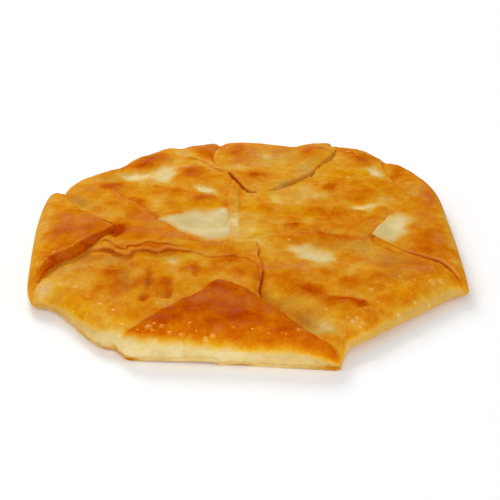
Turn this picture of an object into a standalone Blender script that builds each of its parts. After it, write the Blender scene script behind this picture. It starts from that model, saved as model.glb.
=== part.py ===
"""Placinta: a flat pie of stretched dough, folded twice over its filling and fried.

The sheet's four corners are first folded to the middle, which leaves four wide inner
folds that meet along seams. The four corners of that square are then folded in, which
leaves four outer flaps and an eight-sided rim. It is one solid, and the folds, their
lips and the puffed and sunken places are relief in its upper surface.

Plan and heights are in millimetres of the pie, seen from above with the front flap
towards -Y, and MM turns them into metres. +Z is up and the pie stands on z = 0.
"""

import math

import bmesh
import bpy
import numpy as np
from mathutils import Vector, noise
from mathutils.geometry import delaunay_2d_cdt

# Driving dimensions
PIE_WIDTH = 0.196  # metres, from the left rim to the right
PLAN_WIDTH = 196.0  # the same width in the plan below
MM = PIE_WIDTH / PLAN_WIDTH
RIM_HEIGHT = 9.2  # where the top rolls over into the side
CROWN_HEIGHT = 13.2  # of the inner folds, away from the rim
CROWN_REACH = 15.0  # how far in from the rim the top climbs
RIM_BAND = 9.0  # the relief of the inner folds fades over this band
RELIEF_AT_RIM = 0.35  # to this share

# Mesh density
RIM_SPACING = 4.2
TOP_SPACING = 3.25
EDGE_SPACING = 2.6
GRID_JITTER = 0.12  # share of the spacing
GRID_SEED = 7
CLEAR_OF_EDGE = 1.35  # free points keep this far from an edge line
RIM_RINGS = (4.2, 2.3, 1.1, 0.35, 0.0)  # insets of the rings that round the rim
FREE_POINTS_START = 6.6  # this far in from the rim
MERGE_WITHIN = 0.2

# The rim in plan, anticlockwise from the right corner of the front flap
RIM = (
    (37, -98), (38.9, -96.4), (41, -91.2), (43.6, -87), (54.2, -79.4), (66, -68.8),
    (78, -59), (91, -47.6), (96.8, -44.4), (98, -38), (97.6, -12),
    (96.4, 16), (94.6, 41.2), (87.2, 59.8), (78.4, 71.8), (73.4, 74.8), (70.2, 79.8),
    (62.6, 89), (53.5, 92.4), (46.8, 91.6), (44.8, 96), (35, 95.2), (26, 92), (14, 95),
    (0, 97), (-9.5, 96), (-13.2, 93), (-17, 97.6), (-28.2, 94.4), (-34.8, 91), (-41, 92),
    (-49.4, 85.6), (-57.8, 78.8), (-65, 68.2), (-76.8, 60.6), (-85.6, 51), (-88.4, 44),
    (-88.4, 38.4), (-94, 37.6), (-97.2, 31), (-97.9, 8), (-96.5, -20), (-94.7, -42.3),
    (-91.3, -53), (-86.5, -54), (-79.4, -59), (-72.4, -67.6), (-67.6, -74), (-60, -82.2),
    (-54.2, -84.4), (-50.6, -88), (-45.6, -91.4), (-24, -93.4), (0, -95), (22, -96.8),
)

# The side wall by the direction it faces, in degrees from +X: height where it starts
# to roll over, reach of that roll, how far its foot is off the table, inset of the foot
SIDES = (
    (-118, 6.0, 3.6, 0.3, 1.0),
    (-112, 7.4, 2.5, 1.0, 0.8),
    (-107, 7.6, 2.2, 1.3, 0.8),
    (-98, 7.6, 2.2, 1.5, 0.9),
    (-95, 7.6, 2.2, 0.1, 0.5),
    (-91.5, 7.6, 2.2, 0.8, 0.8),
    (-88, 7.6, 2.2, 0.1, 0.8),
    (-80, 7.4, 2.4, 0.1, 0.8),
    (-75, 6.8, 2.8, 0.1, 0.9),
    (-71, 4.8, 4.2, 0.1, 0.9),
    (-68.8, 2.4, 6.0, 0.1, 0.8),
    (-68, 2.6, 6.5, 0.6, 0.8),
    (-65.8, 3.8, 6.6, 2.2, 1.4),
    (-62.8, 4.8, 6.4, 3.6, 1.4),
    (-52, 4.8, 6.4, 3.5, 1.6),
    (-44, 4.6, 6.6, 3.4, 1.5),
    (-36, 4.4, 6.8, 3.2, 1.4),
    (-30, 4.0, 7.2, 3.0, 1.2),
    (-26, 3.6, 8.0, 2.8, 1.2),
    (-24, 3.4, 8.0, 2.4, 1.2),
    (-20, 3.8, 6.2, 1.8, 2.0),
    (0, 5.0, 4.6, 1.2, 2.8),
    (45, 5.4, 6.0, 0.9, 3.2),
    (90, 6.2, 4.4, 0.6, 3.0),
    (135, 5.6, 5.2, 0.9, 3.2),
    (180, 5.4, 4.6, 1.2, 2.6),
    (200, 4.4, 4.6, 1.8, 1.8),
    (208, 4.2, 4.8, 1.9, 1.5),
    (214, 4.0, 6.0, 1.3, 1.3),
    (225, 4.0, 7.0, 0.8, 1.1),
    (235, 4.8, 5.8, 0.6, 1.0),
    (240, 5.6, 4.4, 0.7, 1.0),
)
ROLL_START, ROLL_REACH, FOOT_LIFT, FOOT_INSET = 1, 2, 3, 4  # the columns of SIDES
FOOT_TUCK = ((0.62, 0.06), (0.28, 0.36), (0.0, 1.0))  # share of the wall, share of its inset
FOOT_UNEVEN = 0.35  # of its edge, up and down
FOOT_UNEVEN_LENGTH = 6.0
LEAST_LIFT = 0.05
FLAT_INSET = 14.0  # the underside is flat inside this

# Outer flaps: plan outline with, at each point, how far the flap's edge stands proud
FLAPS = {
    "front": (
        (-58, -97, 0.2), (-50.5, -87, 0.6), (-46, -83.5, 0.9), (-40, -78.5, 1.4),
        (-31, -70.5, 1.7), (-23, -64, 1.8), (-17.5, -59.5, 1.8), (-14.7, -54, 1.7),
        (-12, -50.6, 1.6), (-8, -50.5, 1.6), (-3, -53.5, 1.7), (2.5, -60, 1.9),
        (7.5, -67, 2.1), (14.5, -74.5, 2.3), (20.5, -82, 2.3), (26.5, -88.5, 2.0),
        (31, -92.3, 1.6), (35.5, -95, 1.2), (39, -98.2, 0.5), (44, -103, 0.2),
        (20, -110, 0.2), (-20, -110, 0.2),
    ),
    "right": (
        (75, 82, 0.2), (69.5, 70, -1.0), (69.5, 60, -1.5), (71, 53, -1.8), (73.5, 44, -1.9),
        (76.5, 37.5, -1.7), (80, 30.5, -0.8), (79.5, 27, 0.1), (76, 21.5, 0.7), (72, 16, 1.0),
        (67.5, 9, 1.3), (62.6, 0.5, 1.6), (60.2, -4.8, 1.7), (58.4, -9.6, 1.8),
        (61.4, -14.4, 1.5), (65, -17.2, 1.2), (69.3, -21.2, 1.1), (73.6, -24.2, 1.2),
        (78.6, -27.6, 1.6), (84, -30.4, 2.1), (87.6, -33.4, 2.2), (91, -38.5, 1.9),
        (93.6, -43, 1.6), (96.5, -46.5, 0.8), (104, -50, 0.2), (112, 20, 0.2),
    ),
    "back": (
        (54, 106, 0.2), (48.5, 90, 0.6), (46, 80, 1.3), (43.5, 73.3, 1.8), (40, 67, 2.0),
        (36, 59.5, 1.8), (32, 54, 1.4), (29.5, 50.8, 1.0), (26.5, 46.8, 1.6), (23, 43, 1.7),
        (19, 40.8, 1.5), (12, 35, 0.4), (8, 32.8, 0.2), (4.5, 32.4, 0.6), (1.5, 34, 1.4),
        (-0.5, 38, 1.8), (-3.5, 45, 1.9), (-6.8, 52.3, 1.6), (-10.5, 57.5, 0.6),
        (-13.6, 62, 0.5), (-15.7, 69, 0.8), (-15.5, 75.6, 1.0), (-14, 83, 1.2),
        (-13, 95, 0.9), (-14, 108, 0.2),
    ),
    "left": (
        (-100, 47, 0.2), (-93, 42, 0.6), (-87.5, 32.5, 1.0), (-82, 23, 1.5),
        (-77.5, 15.2, 1.6), (-70.7, 9.6, 1.4), (-67, 5.4, 1.3), (-63, 2, 1.4),
        (-60.2, -1.4, 1.8), (-59.9, -5, 2.5), (-61.8, -10.8, 3.6), (-65.2, -14.8, 4.3),
        (-68, -17.6, 4.7), (-70.8, -22, 4.9), (-75, -26.9, 4.8), (-79.2, -29.9, 4.4),
        (-83, -33.4, 3.8), (-85.8, -36.8, 3.2), (-88, -40.5, 2.6), (-89, -45.5, 1.8),
        (-89.8, -49.5, 1.0), (-102, -58, 0.2), (-110, 0, 0.2),
    ),
}
FLAP_CROWN = {"front": 2.3, "right": 1.4, "back": 1.0, "left": 2.8}  # away from its edge
FLAP_EDGE_REACH = 7.0
FLAP_TAKES_OFF = 3.5  # a flap leaves the rim over this distance
FLAP_EDGE_WIDTH = 0.7
FLAP_EDGE_START = 0.35  # share of its height that the edge stands up at once
FLAP_EDGE_ROUND = 1.6  # and over this it rounds into the rest
SEAM_DIP_REACH = 3.0

# Seams where one inner fold laps another: plan line with, at each point, how far the upper
# fold's lip stands proud, then the side it is on (1 is left of the line's direction), how
# far behind the lip that fades, the dip in front of it, and the width of the step
SEAMS = {
    "wavy_lip": (
        ((7.5, -40, 0.4), (2.5, -34.2, 0.8), (-2, -31, 0.9), (-7, -29.5, 0.9), (-12, -30, 0.8),
         (-19.6, -27.8, 0.6), (-27.3, -24.5, 1.0), (-31.3, -23.8, 1.2), (-34.3, -23.6, 1.4),
         (-38.5, -26, 1.5), (-43, -24, 1.5), (-48.8, -24.3, 1.6), (-50.8, -28, 1.8),
         (-53.6, -28, 1.8), (-56.8, -25.6, 1.7), (-59.8, -22.6, 1.5), (-63, -21.1, 1.3),
         (-69.5, -21.4, 0.3)),
        -1, 12.0, 0.6, 0.5,
    ),
    "wavy_lip_above": (
        ((-25.5, -22.5, 0.2), (-32.3, -21.2, 0.7), (-36.3, -21.3, 0.8), (-41.6, -19.3, 0.8),
         (-44.9, -19.6, 0.8), (-51.9, -21.5, 1.0), (-53.4, -24.4, 1.0), (-56.4, -22.6, 1.0),
         (-59.3, -18.3, 0.9), (-62.8, -15.6, 0.8), (-66.5, -17.4, 0.3)),
        -1, 8.0, 0.1, 0.5,
    ),
    "band_shoulder": (
        ((-61, 31, 0.8), (-57, 24.5, 1.7), (-51.8, 18, 2.5), (-46.6, 11.4, 2.9),
         (-42.8, 4.4, 3.0), (-41, 0.5, 2.8), (-38.6, -1, 2.5), (-34.4, -2.7, 2.4),
         (-31.2, -7.2, 2.4), (-27.8, -12.5, 2.2), (-23.6, -15.8, 1.9), (-17.8, -17, 1.5),
         (-11, -17.3, 0.9)),
        -1, 14.0, 0.8, 1.6,
    ),
    "tongue_edge": (
        ((7.5, -40, 0.4), (6.8, -35.5, 1.3), (5.5, -30.2, 1.5), (5.9, -24.7, 1.3),
         (5.2, -20.2, 0.8), (5.4, -16, 0.2)),
        1, 9.0, 0.5, 0.5,
    ),
    "tongue_side": (
        ((-10.6, -27.5, 0.3), (-9.6, -21.7, 0.9), (-8.8, -15, 0.4)),
        -1, 5.0, 0.2, 0.5,
    ),
    "front_seam": (
        ((13, -72, 0.3), (7.6, -65, 1.2), (6, -60.5, 1.7), (5.8, -56, 1.8), (6.3, -50.5, 1.7),
         (7.2, -45, 1.5), (7.8, -40, 0.6)),
        1, 8.0, 1.0, 0.5,
    ),
    "middle_strip": (
        ((-5.6, 47.5, 0.4), (-6.4, 36, 1.3), (-7.1, 26, 1.6), (-7, 12.7, 1.7), (-6.4, 1, 1.6),
         (-6.2, -12, 0.6)),
        1, 7.0, 0.5, 0.7,
    ),
    "right_seam": (
        ((4.7, -12.2, 0.6), (7.8, -9.4, 1.0), (11.5, -8.3, 0.8), (18, -7.6, 0.6),
         (25.2, -6.6, 1.0), (29.7, -7.4, 1.3), (33.3, -7.8, 1.5), (37.7, -10.3, 1.7),
         (42.3, -9.6, 1.6), (48, -10, 1.1), (56, -11, 0.4)),
        -1, 6.0, 1.0, 0.9,
    ),
    "right_under_layer": (
        ((59.6, -7, 0.3), (57.9, -12, 0.9), (59.4, -17.2, 1.1), (61.6, -18.9, 1.1),
         (64, -20.4, 0.9), (67.5, -24, 0.3)),
        1, 5.0, 0.7, 0.5,
    ),
    "thin_ridge": (
        ((-33.5, 81, 0.2), (-28, 72.5, 0.7), (-20.3, 67, 0.8), (-15, 58.5, 0.8),
         (-9, 54, 0.3)),
        1, 4.0, 0.4, 0.7,
    ),
}

# Creases pressed into the folds: plan line, depth, half width
CREASES = (
    (((-1, 37.5), (-2, 31), (-2, 24), (-1.7, 18), (-1.8, 9), (-1.6, 0), (-1.4, -9)), 0.8, 0.9),
    (((-40.9, -41), (-40.4, -48.8), (-39, -55.2), (-36, -59.6), (-32, -60.8)), 2.0, 1.5),
    (((-49.6, -38), (-48.6, -46), (-48.8, -56)), 1.0, 2.2),
    (((-42.7, -58), (-42.6, -62.5)), 1.4, 1.8),
    (((-57, -30), (-56.5, -35), (-52.5, -42)), 0.7, 1.6),
    (((-28.5, -36), (-27, -34.6), (-24, -32.8), (-22, -35.6), (-21, -40.5), (-20.8, -45)),
     1.0, 1.2),
    (((-57.2, -1.6), (-55.8, -6), (-58.8, -12.4)), 0.8, 1.3),
    (((33, 54), (33.6, 51), (38, 49)), 0.9, 0.9),
    (((-22, 84), (-17.5, 77), (-15.8, 69), (-13.6, 62)), 0.9, 1.1),
    (((-87, 34.5), (-82, 26), (-76, 18.5), (-70, 12.5)), 1.4, 2.0),
    (((-7.4, 53), (-4.2, 46), (-1.2, 38.4), (1.4, 33.2)), 1.2, 1.0),
    (((13.5, 36), (19, 39.6), (25, 43.4), (30, 49.6), (34, 55.4)), 1.3, 1.5),
    (((6.4, -48), (6.8, -58), (12, -66.5), (22, -74.6), (31, -81.5)), 2.0, 2.2),
    (((-86, -40), (-79, -32.4), (-70.5, -24.4), (-65, -19.6)), 1.0, 3.2),
    (((57.9, -7), (57.3, -10.6), (58.8, -15), (62.5, -19), (67, -23.4)), 0.9, 0.8),
    (((21, -7.6), (25.6, -8), (29, -9.4)), 0.9, 0.7),
    (((34, -10), (37.6, -12.4), (42, -11.4)), 0.8, 0.8),
    (((62, 12), (55, 16.4), (46, 14.6)), 0.6, 1.6),
    (((15, 11), (27, 9.4), (41, 8.6), (52, 9.6)), 0.7, 1.7),
    (((20, 22.4), (33, 21), (47, 22.6), (58, 26.4)), 0.8, 2.0),
)

# Places that puffed up, or stayed sunken under the folds:
# x, y, half length, half width, turn in degrees, height
PUFFS = (
    (-49, 68, 15, 6, 38, 2.0), (-20, 83, 9, 6, 0, 1.4), (-26, 54, 8, 6, 0, 1.4),
    (-19, 26, 12, 3.6, 0, 1.3), (-66, 39, 9, 5, 15, 1.2), (-72, 53, 9, 5, 40, 0.8),
    (-42, 25, 6, 8, 20, 0.6), (-49, -6, 7, 12, 15, 0.8), (-66, 21, 6, 9, 20, 0.7),
    (42, 38, 8, 6, 0, 1.2), (57, 72, 9, 9, -30, 1.8), (61, 33, 8, 12, 15, 1.9),
    (33, 17, 19, 3.4, -4, 1.3), (8, 14, 6, 8, 0, 0.9), (28, -1, 15, 3.2, 0, 1.1),
    (50, 7, 10, 3.6, 5, 0.9), (50, 52, 9, 7, 0, 0.8), (34, -15, 20, 3.2, -3, 1.4),
    (18, -46, 10, 6, 0, 1.2), (14, -58, 7, 7, 0, 1.0), (43, -67, 10, 5, -12, 1.7),
    (29, -55, 6, 7, 0, 0.9), (60, -42, 10, 8, 0, 0.7), (75, -42, 13, 8, 30, 0.9),
    (64, -62, 14, 6, 42, 0.6), (48, -50, 5, 7, 0, 0.7), (-57, -46, 7, 10, 5, 1.4),
    (-34, -53, 4.5, 8, 8, 1.7), (-6, -39, 9, 5.5, -8, 1.3), (-70, -53, 9, 6, 0, 0.9),
    (-60, -68, 12, 7, -40, 0.8), (-46, -73, 7, 8, 0, 0.6), (-26, -51, 4, 7, 0, 0.7),
    (-54, 53, 7, 5, 0, -1.5), (-40, 56, 6, 8, 0, -1.9), (-18.5, 38, 7, 4, -20, -1.6),
    (-19, 2, 13, 10, -15, -2.2), (31, -26, 11, 5, -25, -1.8), (57, 21, 9, 4, 20, -1.6),
    (65, 59, 4, 6, 15, -1.4), (29, -79, 8, 5, 15, -0.8), (38, -86, 7, 6, 0, -1.2),
    (-33, -31, 7, 3.6, 0, -1.3), (24, 31, 9, 6, 0, -0.8), (17, -21, 7, 4, 0, -0.8),
    (56, -30, 7, 5, 0, -0.9), (-8, -22, 7, 4, 0, 0.6), (-66, -29, 9, 5, 30, -1.1),
    (-58.3, -7.5, 3.8, 3.6, 0, -1.8), (25, -75, 5, 6, -20, -2.6),
)
FLAP_PUFFS = (
    (5.5, 50, 8, 6, 0, 1.2), (-2, 78, 8, 8, 0, 1.4), (36, 76, 7, 8, -25, 1.8),
    (13, 69, 9, 8, 0, -1.2), (68, -4, 7, 9, 10, -0.9), (88, 34, 5, 7, 0, 1.0),
    (77, 54, 4, 9, 25, -0.5), (85, -14, 6, 14, 0, 0.9), (-79, -2, 9, 15, -10, 1.4),
    (-74, 0, 5, 3, 30, -0.6), (-89, -30, 5, 12, 8, 0.4), (-9, -72, 19, 11, 0, 1.0),
    (14, -87, 12, 6, -20, 0.5), (-30, -82, 11, 6, 10, 0.4), (20, 50, 7, 5, 30, -0.5),
)
WRINKLE_HEIGHT = 0.42  # of the uneven skin between the folds
WRINKLE_LENGTH = 11.0


def curve_through(stations, spacing, closed=False):
    """Rows about `spacing` apart on a Catmull-Rom curve through the stations' rows."""
    rows = np.asarray(stations, float)
    count = len(rows)
    if closed:
        padded = np.vstack([rows[-1], rows, rows[:2]])
    else:
        padded = np.vstack([2 * rows[0] - rows[1], rows, 2 * rows[-1] - rows[-2]])
    made = []
    for i in range(count if closed else count - 1):
        before, start, end, after = padded[i : i + 4]
        steps = max(1, round(float(np.linalg.norm((end - start)[:2])) / spacing))
        for t in np.arange(steps) / steps:
            made.append(
                0.5 * (2 * start + (end - before) * t
                       + (2 * before - 5 * start + 4 * end - after) * t ** 2
                       + (3 * start - before - 3 * end + after) * t ** 3)
            )
    if not closed:
        made.append(rows[-1])
    return np.array(made)


def nearest_on(line, plan, closed=False):
    """For each plan point: distance to the line, which side (+1 is left), and its row."""
    ends = np.roll(line, -1, axis=0) if closed else line[1:]
    starts = line if closed else line[:-1]
    best = np.full(len(plan), np.inf)
    side = np.ones(len(plan))
    rows = np.zeros((len(plan), line.shape[1]))
    for start, end in zip(starts, ends):
        run = (end - start)[:2]
        away = plan - start[:2]
        t = np.clip(away @ run / max(run @ run, 1e-9), 0, 1)
        gap = away - t[:, None] * run
        distance = np.hypot(gap[:, 0], gap[:, 1])
        closer = distance < best - 1e-9
        best[closer] = distance[closer]
        cross = run[0] * away[:, 1] - run[1] * away[:, 0]
        side[closer] = np.where(cross >= 0, 1.0, -1.0)[closer]
        rows[closer] = (start + t[:, None] * (end - start))[closer]
    return best, side, rows


def within(line, plan):
    """Which plan points are inside a closed line."""
    inside = np.zeros(len(plan), bool)
    x, y = plan[:, 0], plan[:, 1]
    for (ax, ay), (bx, by) in zip(line[:, :2], np.roll(line[:, :2], -1, axis=0)):
        if ay != by:
            inside ^= ((ay > y) != (by > y)) & (x < ax + (y - ay) * (bx - ax) / (by - ay))
    return inside


def ramp(value):
    """0 below 0, 1 above 1, smooth between."""
    t = np.clip(value, 0, 1)
    return t * t * (3 - 2 * t)


def bumps(plan, table):
    """The sum of round-topped bumps."""
    height = np.zeros(len(plan))
    for x, y, half_length, half_width, turn, rise in table:
        angle = math.radians(turn)
        dx, dy = plan[:, 0] - x, plan[:, 1] - y
        along = (dx * math.cos(angle) + dy * math.sin(angle)) / half_length
        across = (dy * math.cos(angle) - dx * math.sin(angle)) / half_width
        height += rise * np.exp(-(along ** 2 + across ** 2))
    return height


def wrinkles(plan, length, seed=0.0):
    """Smooth unevenness between about -1 and 1."""
    return np.array([noise.noise(Vector((x / length, y / length, seed))) for x, y in plan])


class Pie:
    """The plan lines at mesh density, and the height of the top over any plan point."""

    def __init__(self, spacing):
        self.rim = curve_through(RIM, RIM_SPACING, closed=True)
        angle = np.arctan2(self.rim[:, 1], self.rim[:, 0])
        order = np.argsort(angle)
        self.rim_angle = angle[order]
        self.rim_radius = np.hypot(*self.rim.T)[order]
        self.flaps = {n: curve_through(line, spacing, True) for n, line in FLAPS.items()}
        self.seams = {n: curve_through(row[0], spacing) for n, row in SEAMS.items()}
        self.creases = [curve_through(row[0], spacing) for row in CREASES]

    def inward(self, plan):
        """How far in from the rim a point lies, towards the middle."""
        angle = np.arctan2(plan[:, 1], plan[:, 0])
        radius = np.interp(angle, self.rim_angle, self.rim_radius, period=2 * math.pi)
        return radius - np.hypot(*plan.T)

    def side(self, plan, column):
        """A column of SIDES, at the direction of each point."""
        angle = np.degrees(np.arctan2(plan[:, 1], plan[:, 0]))
        table = np.array(SIDES)
        return np.interp(angle, table[:, 0], table[:, column], period=360)

    def folds(self, plan):
        """The inner folds, with their seams and creases."""
        height = bumps(plan, PUFFS)
        for name, (_, upper_side, fade, dip, width) in SEAMS.items():
            distance, side, rows = nearest_on(self.seams[name], plan)
            proud = rows[:, 2]
            behind = distance * side * upper_side
            step = ramp(behind / width + 0.5)
            above = proud * step * np.exp(-np.maximum(behind, 0) / fade)
            below = dip * (1 - step) * np.exp(-np.maximum(-behind, 0) / SEAM_DIP_REACH)
            height += above - below * ramp(proud)
        for line, (_, depth, half_width) in zip(self.creases, CREASES):
            distance, _, _ = nearest_on(line, plan)
            height -= depth * np.exp(-((distance / half_width) ** 2))
        return height

    def flap(self, plan, name):
        """How far an outer flap stands above the plain crown, inside its outline."""
        distance, _, rows = nearest_on(self.flaps[name], plan, closed=True)
        crown = FLAP_CROWN[name]
        rise = crown + (rows[:, 2] - crown) * np.exp(-distance / FLAP_EDGE_REACH)
        lip = ramp(FLAP_EDGE_START + distance / FLAP_EDGE_ROUND)
        return rise * lip * ramp(self.inward(plan) / FLAP_TAKES_OFF)

    def top(self, plan):
        """Height of the upper surface."""
        inward = np.maximum(self.inward(plan), 0)
        height = RIM_HEIGHT + (CROWN_HEIGHT - RIM_HEIGHT) * (1 - np.exp(-inward / CROWN_REACH))
        height += WRINKLE_HEIGHT * wrinkles(plan, WRINKLE_LENGTH)
        fade = RELIEF_AT_RIM + (1 - RELIEF_AT_RIM) * ramp(inward / RIM_BAND)
        relief = self.folds(plan) * fade
        on_flap = bumps(plan, FLAP_PUFFS)
        for name, line in self.flaps.items():
            relief = np.where(within(line, plan), on_flap + self.flap(plan, name), relief)
        height += relief
        start = self.side(plan, ROLL_START)
        roll = np.clip(1 - inward / self.side(plan, ROLL_REACH), 0, 1)
        return start + (height - start) * np.sqrt(1 - roll ** 2)


def beside(line, offset, closed=False):
    """A line moved sideways, to its left where offset is positive."""
    run = np.roll(line, -1, axis=0) - np.roll(line, 1, axis=0)
    if not closed:
        run[0], run[-1] = line[1] - line[0], line[-1] - line[-2]
    run = run[:, :2] / np.hypot(run[:, 0], run[:, 1])[:, None]
    return line[:, :2] + offset * np.stack([-run[:, 1], run[:, 0]], axis=1)


def inset_rim(pie, inset):
    """The rim's plan points, moved towards the middle."""
    return pie.rim * (1 - inset / np.hypot(*pie.rim.T))[:, None]


def runs_where(line, keep):
    """The runs of a line whose points are all kept."""
    breaks = np.flatnonzero(np.diff(keep.astype(int))) + 1
    parts = zip(np.split(line, breaks), np.split(keep, breaks))
    return [part for part, kept in parts if kept[0] and len(part) > 1]


def edge_runs(pie):
    """The lines that the mesh follows, a high one and a low one beside each lip."""
    runs = []
    clear_of_rim = RIM_RINGS[0] + MERGE_WITHIN * 3
    for line in pie.flaps.values():
        for offset in (FLAP_EDGE_WIDTH / 2, -FLAP_EDGE_WIDTH / 2):
            loop = beside(line, offset, closed=True)
            loop = np.vstack([loop, loop[:1]])
            runs += runs_where(loop, pie.inward(loop) > clear_of_rim)
    for name, line in pie.seams.items():
        width = SEAMS[name][-1]
        for offset in (width / 2, -width / 2):
            moved = beside(line, offset)
            shows = np.ones(len(moved), bool)
            for flap in pie.flaps.values():
                distance, _, _ = nearest_on(flap, moved, closed=True)
                shows &= ~within(flap, moved) & (distance > CLEAR_OF_EDGE)
            runs += runs_where(moved, shows)
    return runs


def free_points(pie, lines):
    """A staggered, slightly uneven grid of points, clear of the lines and of the rim."""
    reach = PLAN_WIDTH / 2 + TOP_SPACING
    grid = np.array([
        (x + (i % 2) * TOP_SPACING / 2, y)
        for i, y in enumerate(np.arange(-reach, reach, TOP_SPACING * math.sqrt(3) / 2))
        for x in np.arange(-reach, reach, TOP_SPACING)
    ])
    random = np.random.default_rng(GRID_SEED)
    grid += random.uniform(-GRID_JITTER, GRID_JITTER, grid.shape) * TOP_SPACING
    grid = grid[pie.inward(grid) > FREE_POINTS_START]
    for line in lines:
        distance, _, _ = nearest_on(line, grid)
        grid = grid[distance > CLEAR_OF_EDGE]
    return grid


def top_plan(pie):
    """Plan points and triangles of the top inside its first rim ring, whose points lead."""
    ring = inset_rim(pie, RIM_RINGS[0])
    lines = edge_runs(pie)
    chains = [np.vstack([ring, ring[:1]])] + lines
    edges = []
    first = 0
    for chain in chains:
        edges += [(i, i + 1) for i in range(first, first + len(chain) - 1)]
        first += len(chain)
    points = np.vstack(chains + [free_points(pie, lines)])
    made = delaunay_2d_cdt([Vector(p) for p in points], edges, [], 0, MERGE_WITHIN, False)
    plan, triangles = np.array(made[0]), np.array(made[2])
    inside = within(ring, plan[triangles].mean(axis=1))
    return plan, triangles[inside]


def side_rings(pie):
    """(plan, heights) of each ring below the top's own edge, down to the underside."""
    for inset in RIM_RINGS[1:]:
        ring = inset_rim(pie, inset)
        yield ring, pie.top(ring)
    start = pie.side(pie.rim, ROLL_START)
    inset = pie.side(pie.rim, FOOT_INSET)
    uneven = FOOT_UNEVEN * wrinkles(pie.rim, FOOT_UNEVEN_LENGTH, seed=3.0)
    for share, tuck in FOOT_TUCK:
        foot = pie.side(pie.rim, FOOT_LIFT) + uneven * (1 - share)
        foot = np.maximum(foot, LEAST_LIFT)
        yield inset_rim(pie, tuck * inset + np.abs(uneven)), foot + share * (start - foot)
    yield inset_rim(pie, FLAT_INSET), np.zeros(len(pie.rim))


def build_pie():
    """The closed mesh: top, rolled rim, side wall, tucked foot and flat underside."""
    pie = Pie(EDGE_SPACING)
    mesh = bmesh.new()

    def corners(plan, heights):
        return [mesh.verts.new((x * MM, y * MM, z * MM)) for (x, y), z in zip(plan, heights)]

    plan, triangles = top_plan(pie)
    top = corners(plan, pie.top(plan))
    for triangle in triangles:
        mesh.faces.new([top[i] for i in triangle])
    count = len(pie.rim)
    upper = top[:count]
    for ring in side_rings(pie):
        lower = corners(*ring)
        for i in range(count):
            j = (i + 1) % count
            mesh.faces.new((upper[j], upper[i], lower[i], lower[j]))
        upper = lower
    mesh.faces.new(reversed(upper))
    bmesh.ops.delete(mesh, geom=[v for v in mesh.verts if not v.link_faces], context="VERTS")
    bmesh.ops.recalc_face_normals(mesh, faces=mesh.faces)
    return mesh


def stand_on_origin(mesh):
    """Moves the middle of the pie's box, in plan, to the origin."""
    spots = np.array([v.co for v in mesh.verts])
    middle = (spots.min(axis=0) + spots.max(axis=0)) / 2
    bmesh.ops.translate(mesh, verts=mesh.verts, vec=(-middle[0], -middle[1], 0))


def fried_dough():
    """Golden fried dough with an oily sheen."""
    material = bpy.data.materials.new("fried_dough")
    material.use_nodes = True
    shader = material.node_tree.nodes["Principled BSDF"]
    shader.inputs["Base Color"].default_value = (0.72, 0.34, 0.06, 1.0)
    shader.inputs["Roughness"].default_value = 0.42
    shader.inputs["Metallic"].default_value = 0.0
    return material


def main():
    for old in list(bpy.data.objects):
        bpy.data.objects.remove(old)
    mesh = build_pie()
    stand_on_origin(mesh)
    data = bpy.data.meshes.new("placinta")
    mesh.to_mesh(data)
    mesh.free()
    data.materials.append(fried_dough())
    data.shade_smooth()
    data.set_sharp_from_angle(angle=math.radians(50))
    placinta = bpy.data.objects.new("placinta", data)
    bpy.context.scene.collection.objects.link(placinta)


main()
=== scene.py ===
"""The looks of the placinta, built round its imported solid.

The crust is one fine closed mesh on the solid's own plan: four inner folds that meet along
lapped seams, four outer flaps with undercut edges, a rolled rim, a pale side wall and a
ragged foot. How brown the dough fried, and where it stayed thin and pale over the filling,
is worked out for each point of it and handed to the crust's material. Fry blisters and
specks are domes that Geometry Nodes stand on it.

Plan and heights are in millimetres of the pie, seen from above with the front flap
towards -Y. MM turns them into metres.
"""

import math

import bmesh
import bpy
import numpy as np
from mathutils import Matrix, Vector, noise
from mathutils.geometry import delaunay_2d_cdt


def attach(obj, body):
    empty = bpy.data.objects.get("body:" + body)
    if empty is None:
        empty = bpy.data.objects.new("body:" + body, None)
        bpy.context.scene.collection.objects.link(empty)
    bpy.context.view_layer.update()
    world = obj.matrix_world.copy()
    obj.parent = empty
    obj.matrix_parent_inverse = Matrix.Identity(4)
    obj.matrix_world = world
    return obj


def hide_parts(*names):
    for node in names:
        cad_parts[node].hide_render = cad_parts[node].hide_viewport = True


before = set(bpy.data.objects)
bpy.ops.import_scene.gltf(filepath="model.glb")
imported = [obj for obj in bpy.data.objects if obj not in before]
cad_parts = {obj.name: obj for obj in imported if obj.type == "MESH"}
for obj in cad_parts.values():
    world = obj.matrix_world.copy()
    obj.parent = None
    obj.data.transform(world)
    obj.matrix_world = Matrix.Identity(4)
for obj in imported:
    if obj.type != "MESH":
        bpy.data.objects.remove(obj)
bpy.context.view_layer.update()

MM = 0.001

# ------------------------------------------------------------------ the pie's plan

RIM_HEIGHT, CROWN_HEIGHT = 9.2, 13.2
CROWN_REACH = 15.0  # over which the pie rises from its rim to its crown
RIM_BAND = 9.0  # within this of the rim the relief is lower,
RELIEF_AT_RIM = 0.35  # down to this share of it
HIGHEST = 16.6  # no place stands higher
RIM_MARGIN = 0.25  # the crust stays this far inside the solid's outline

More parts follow.
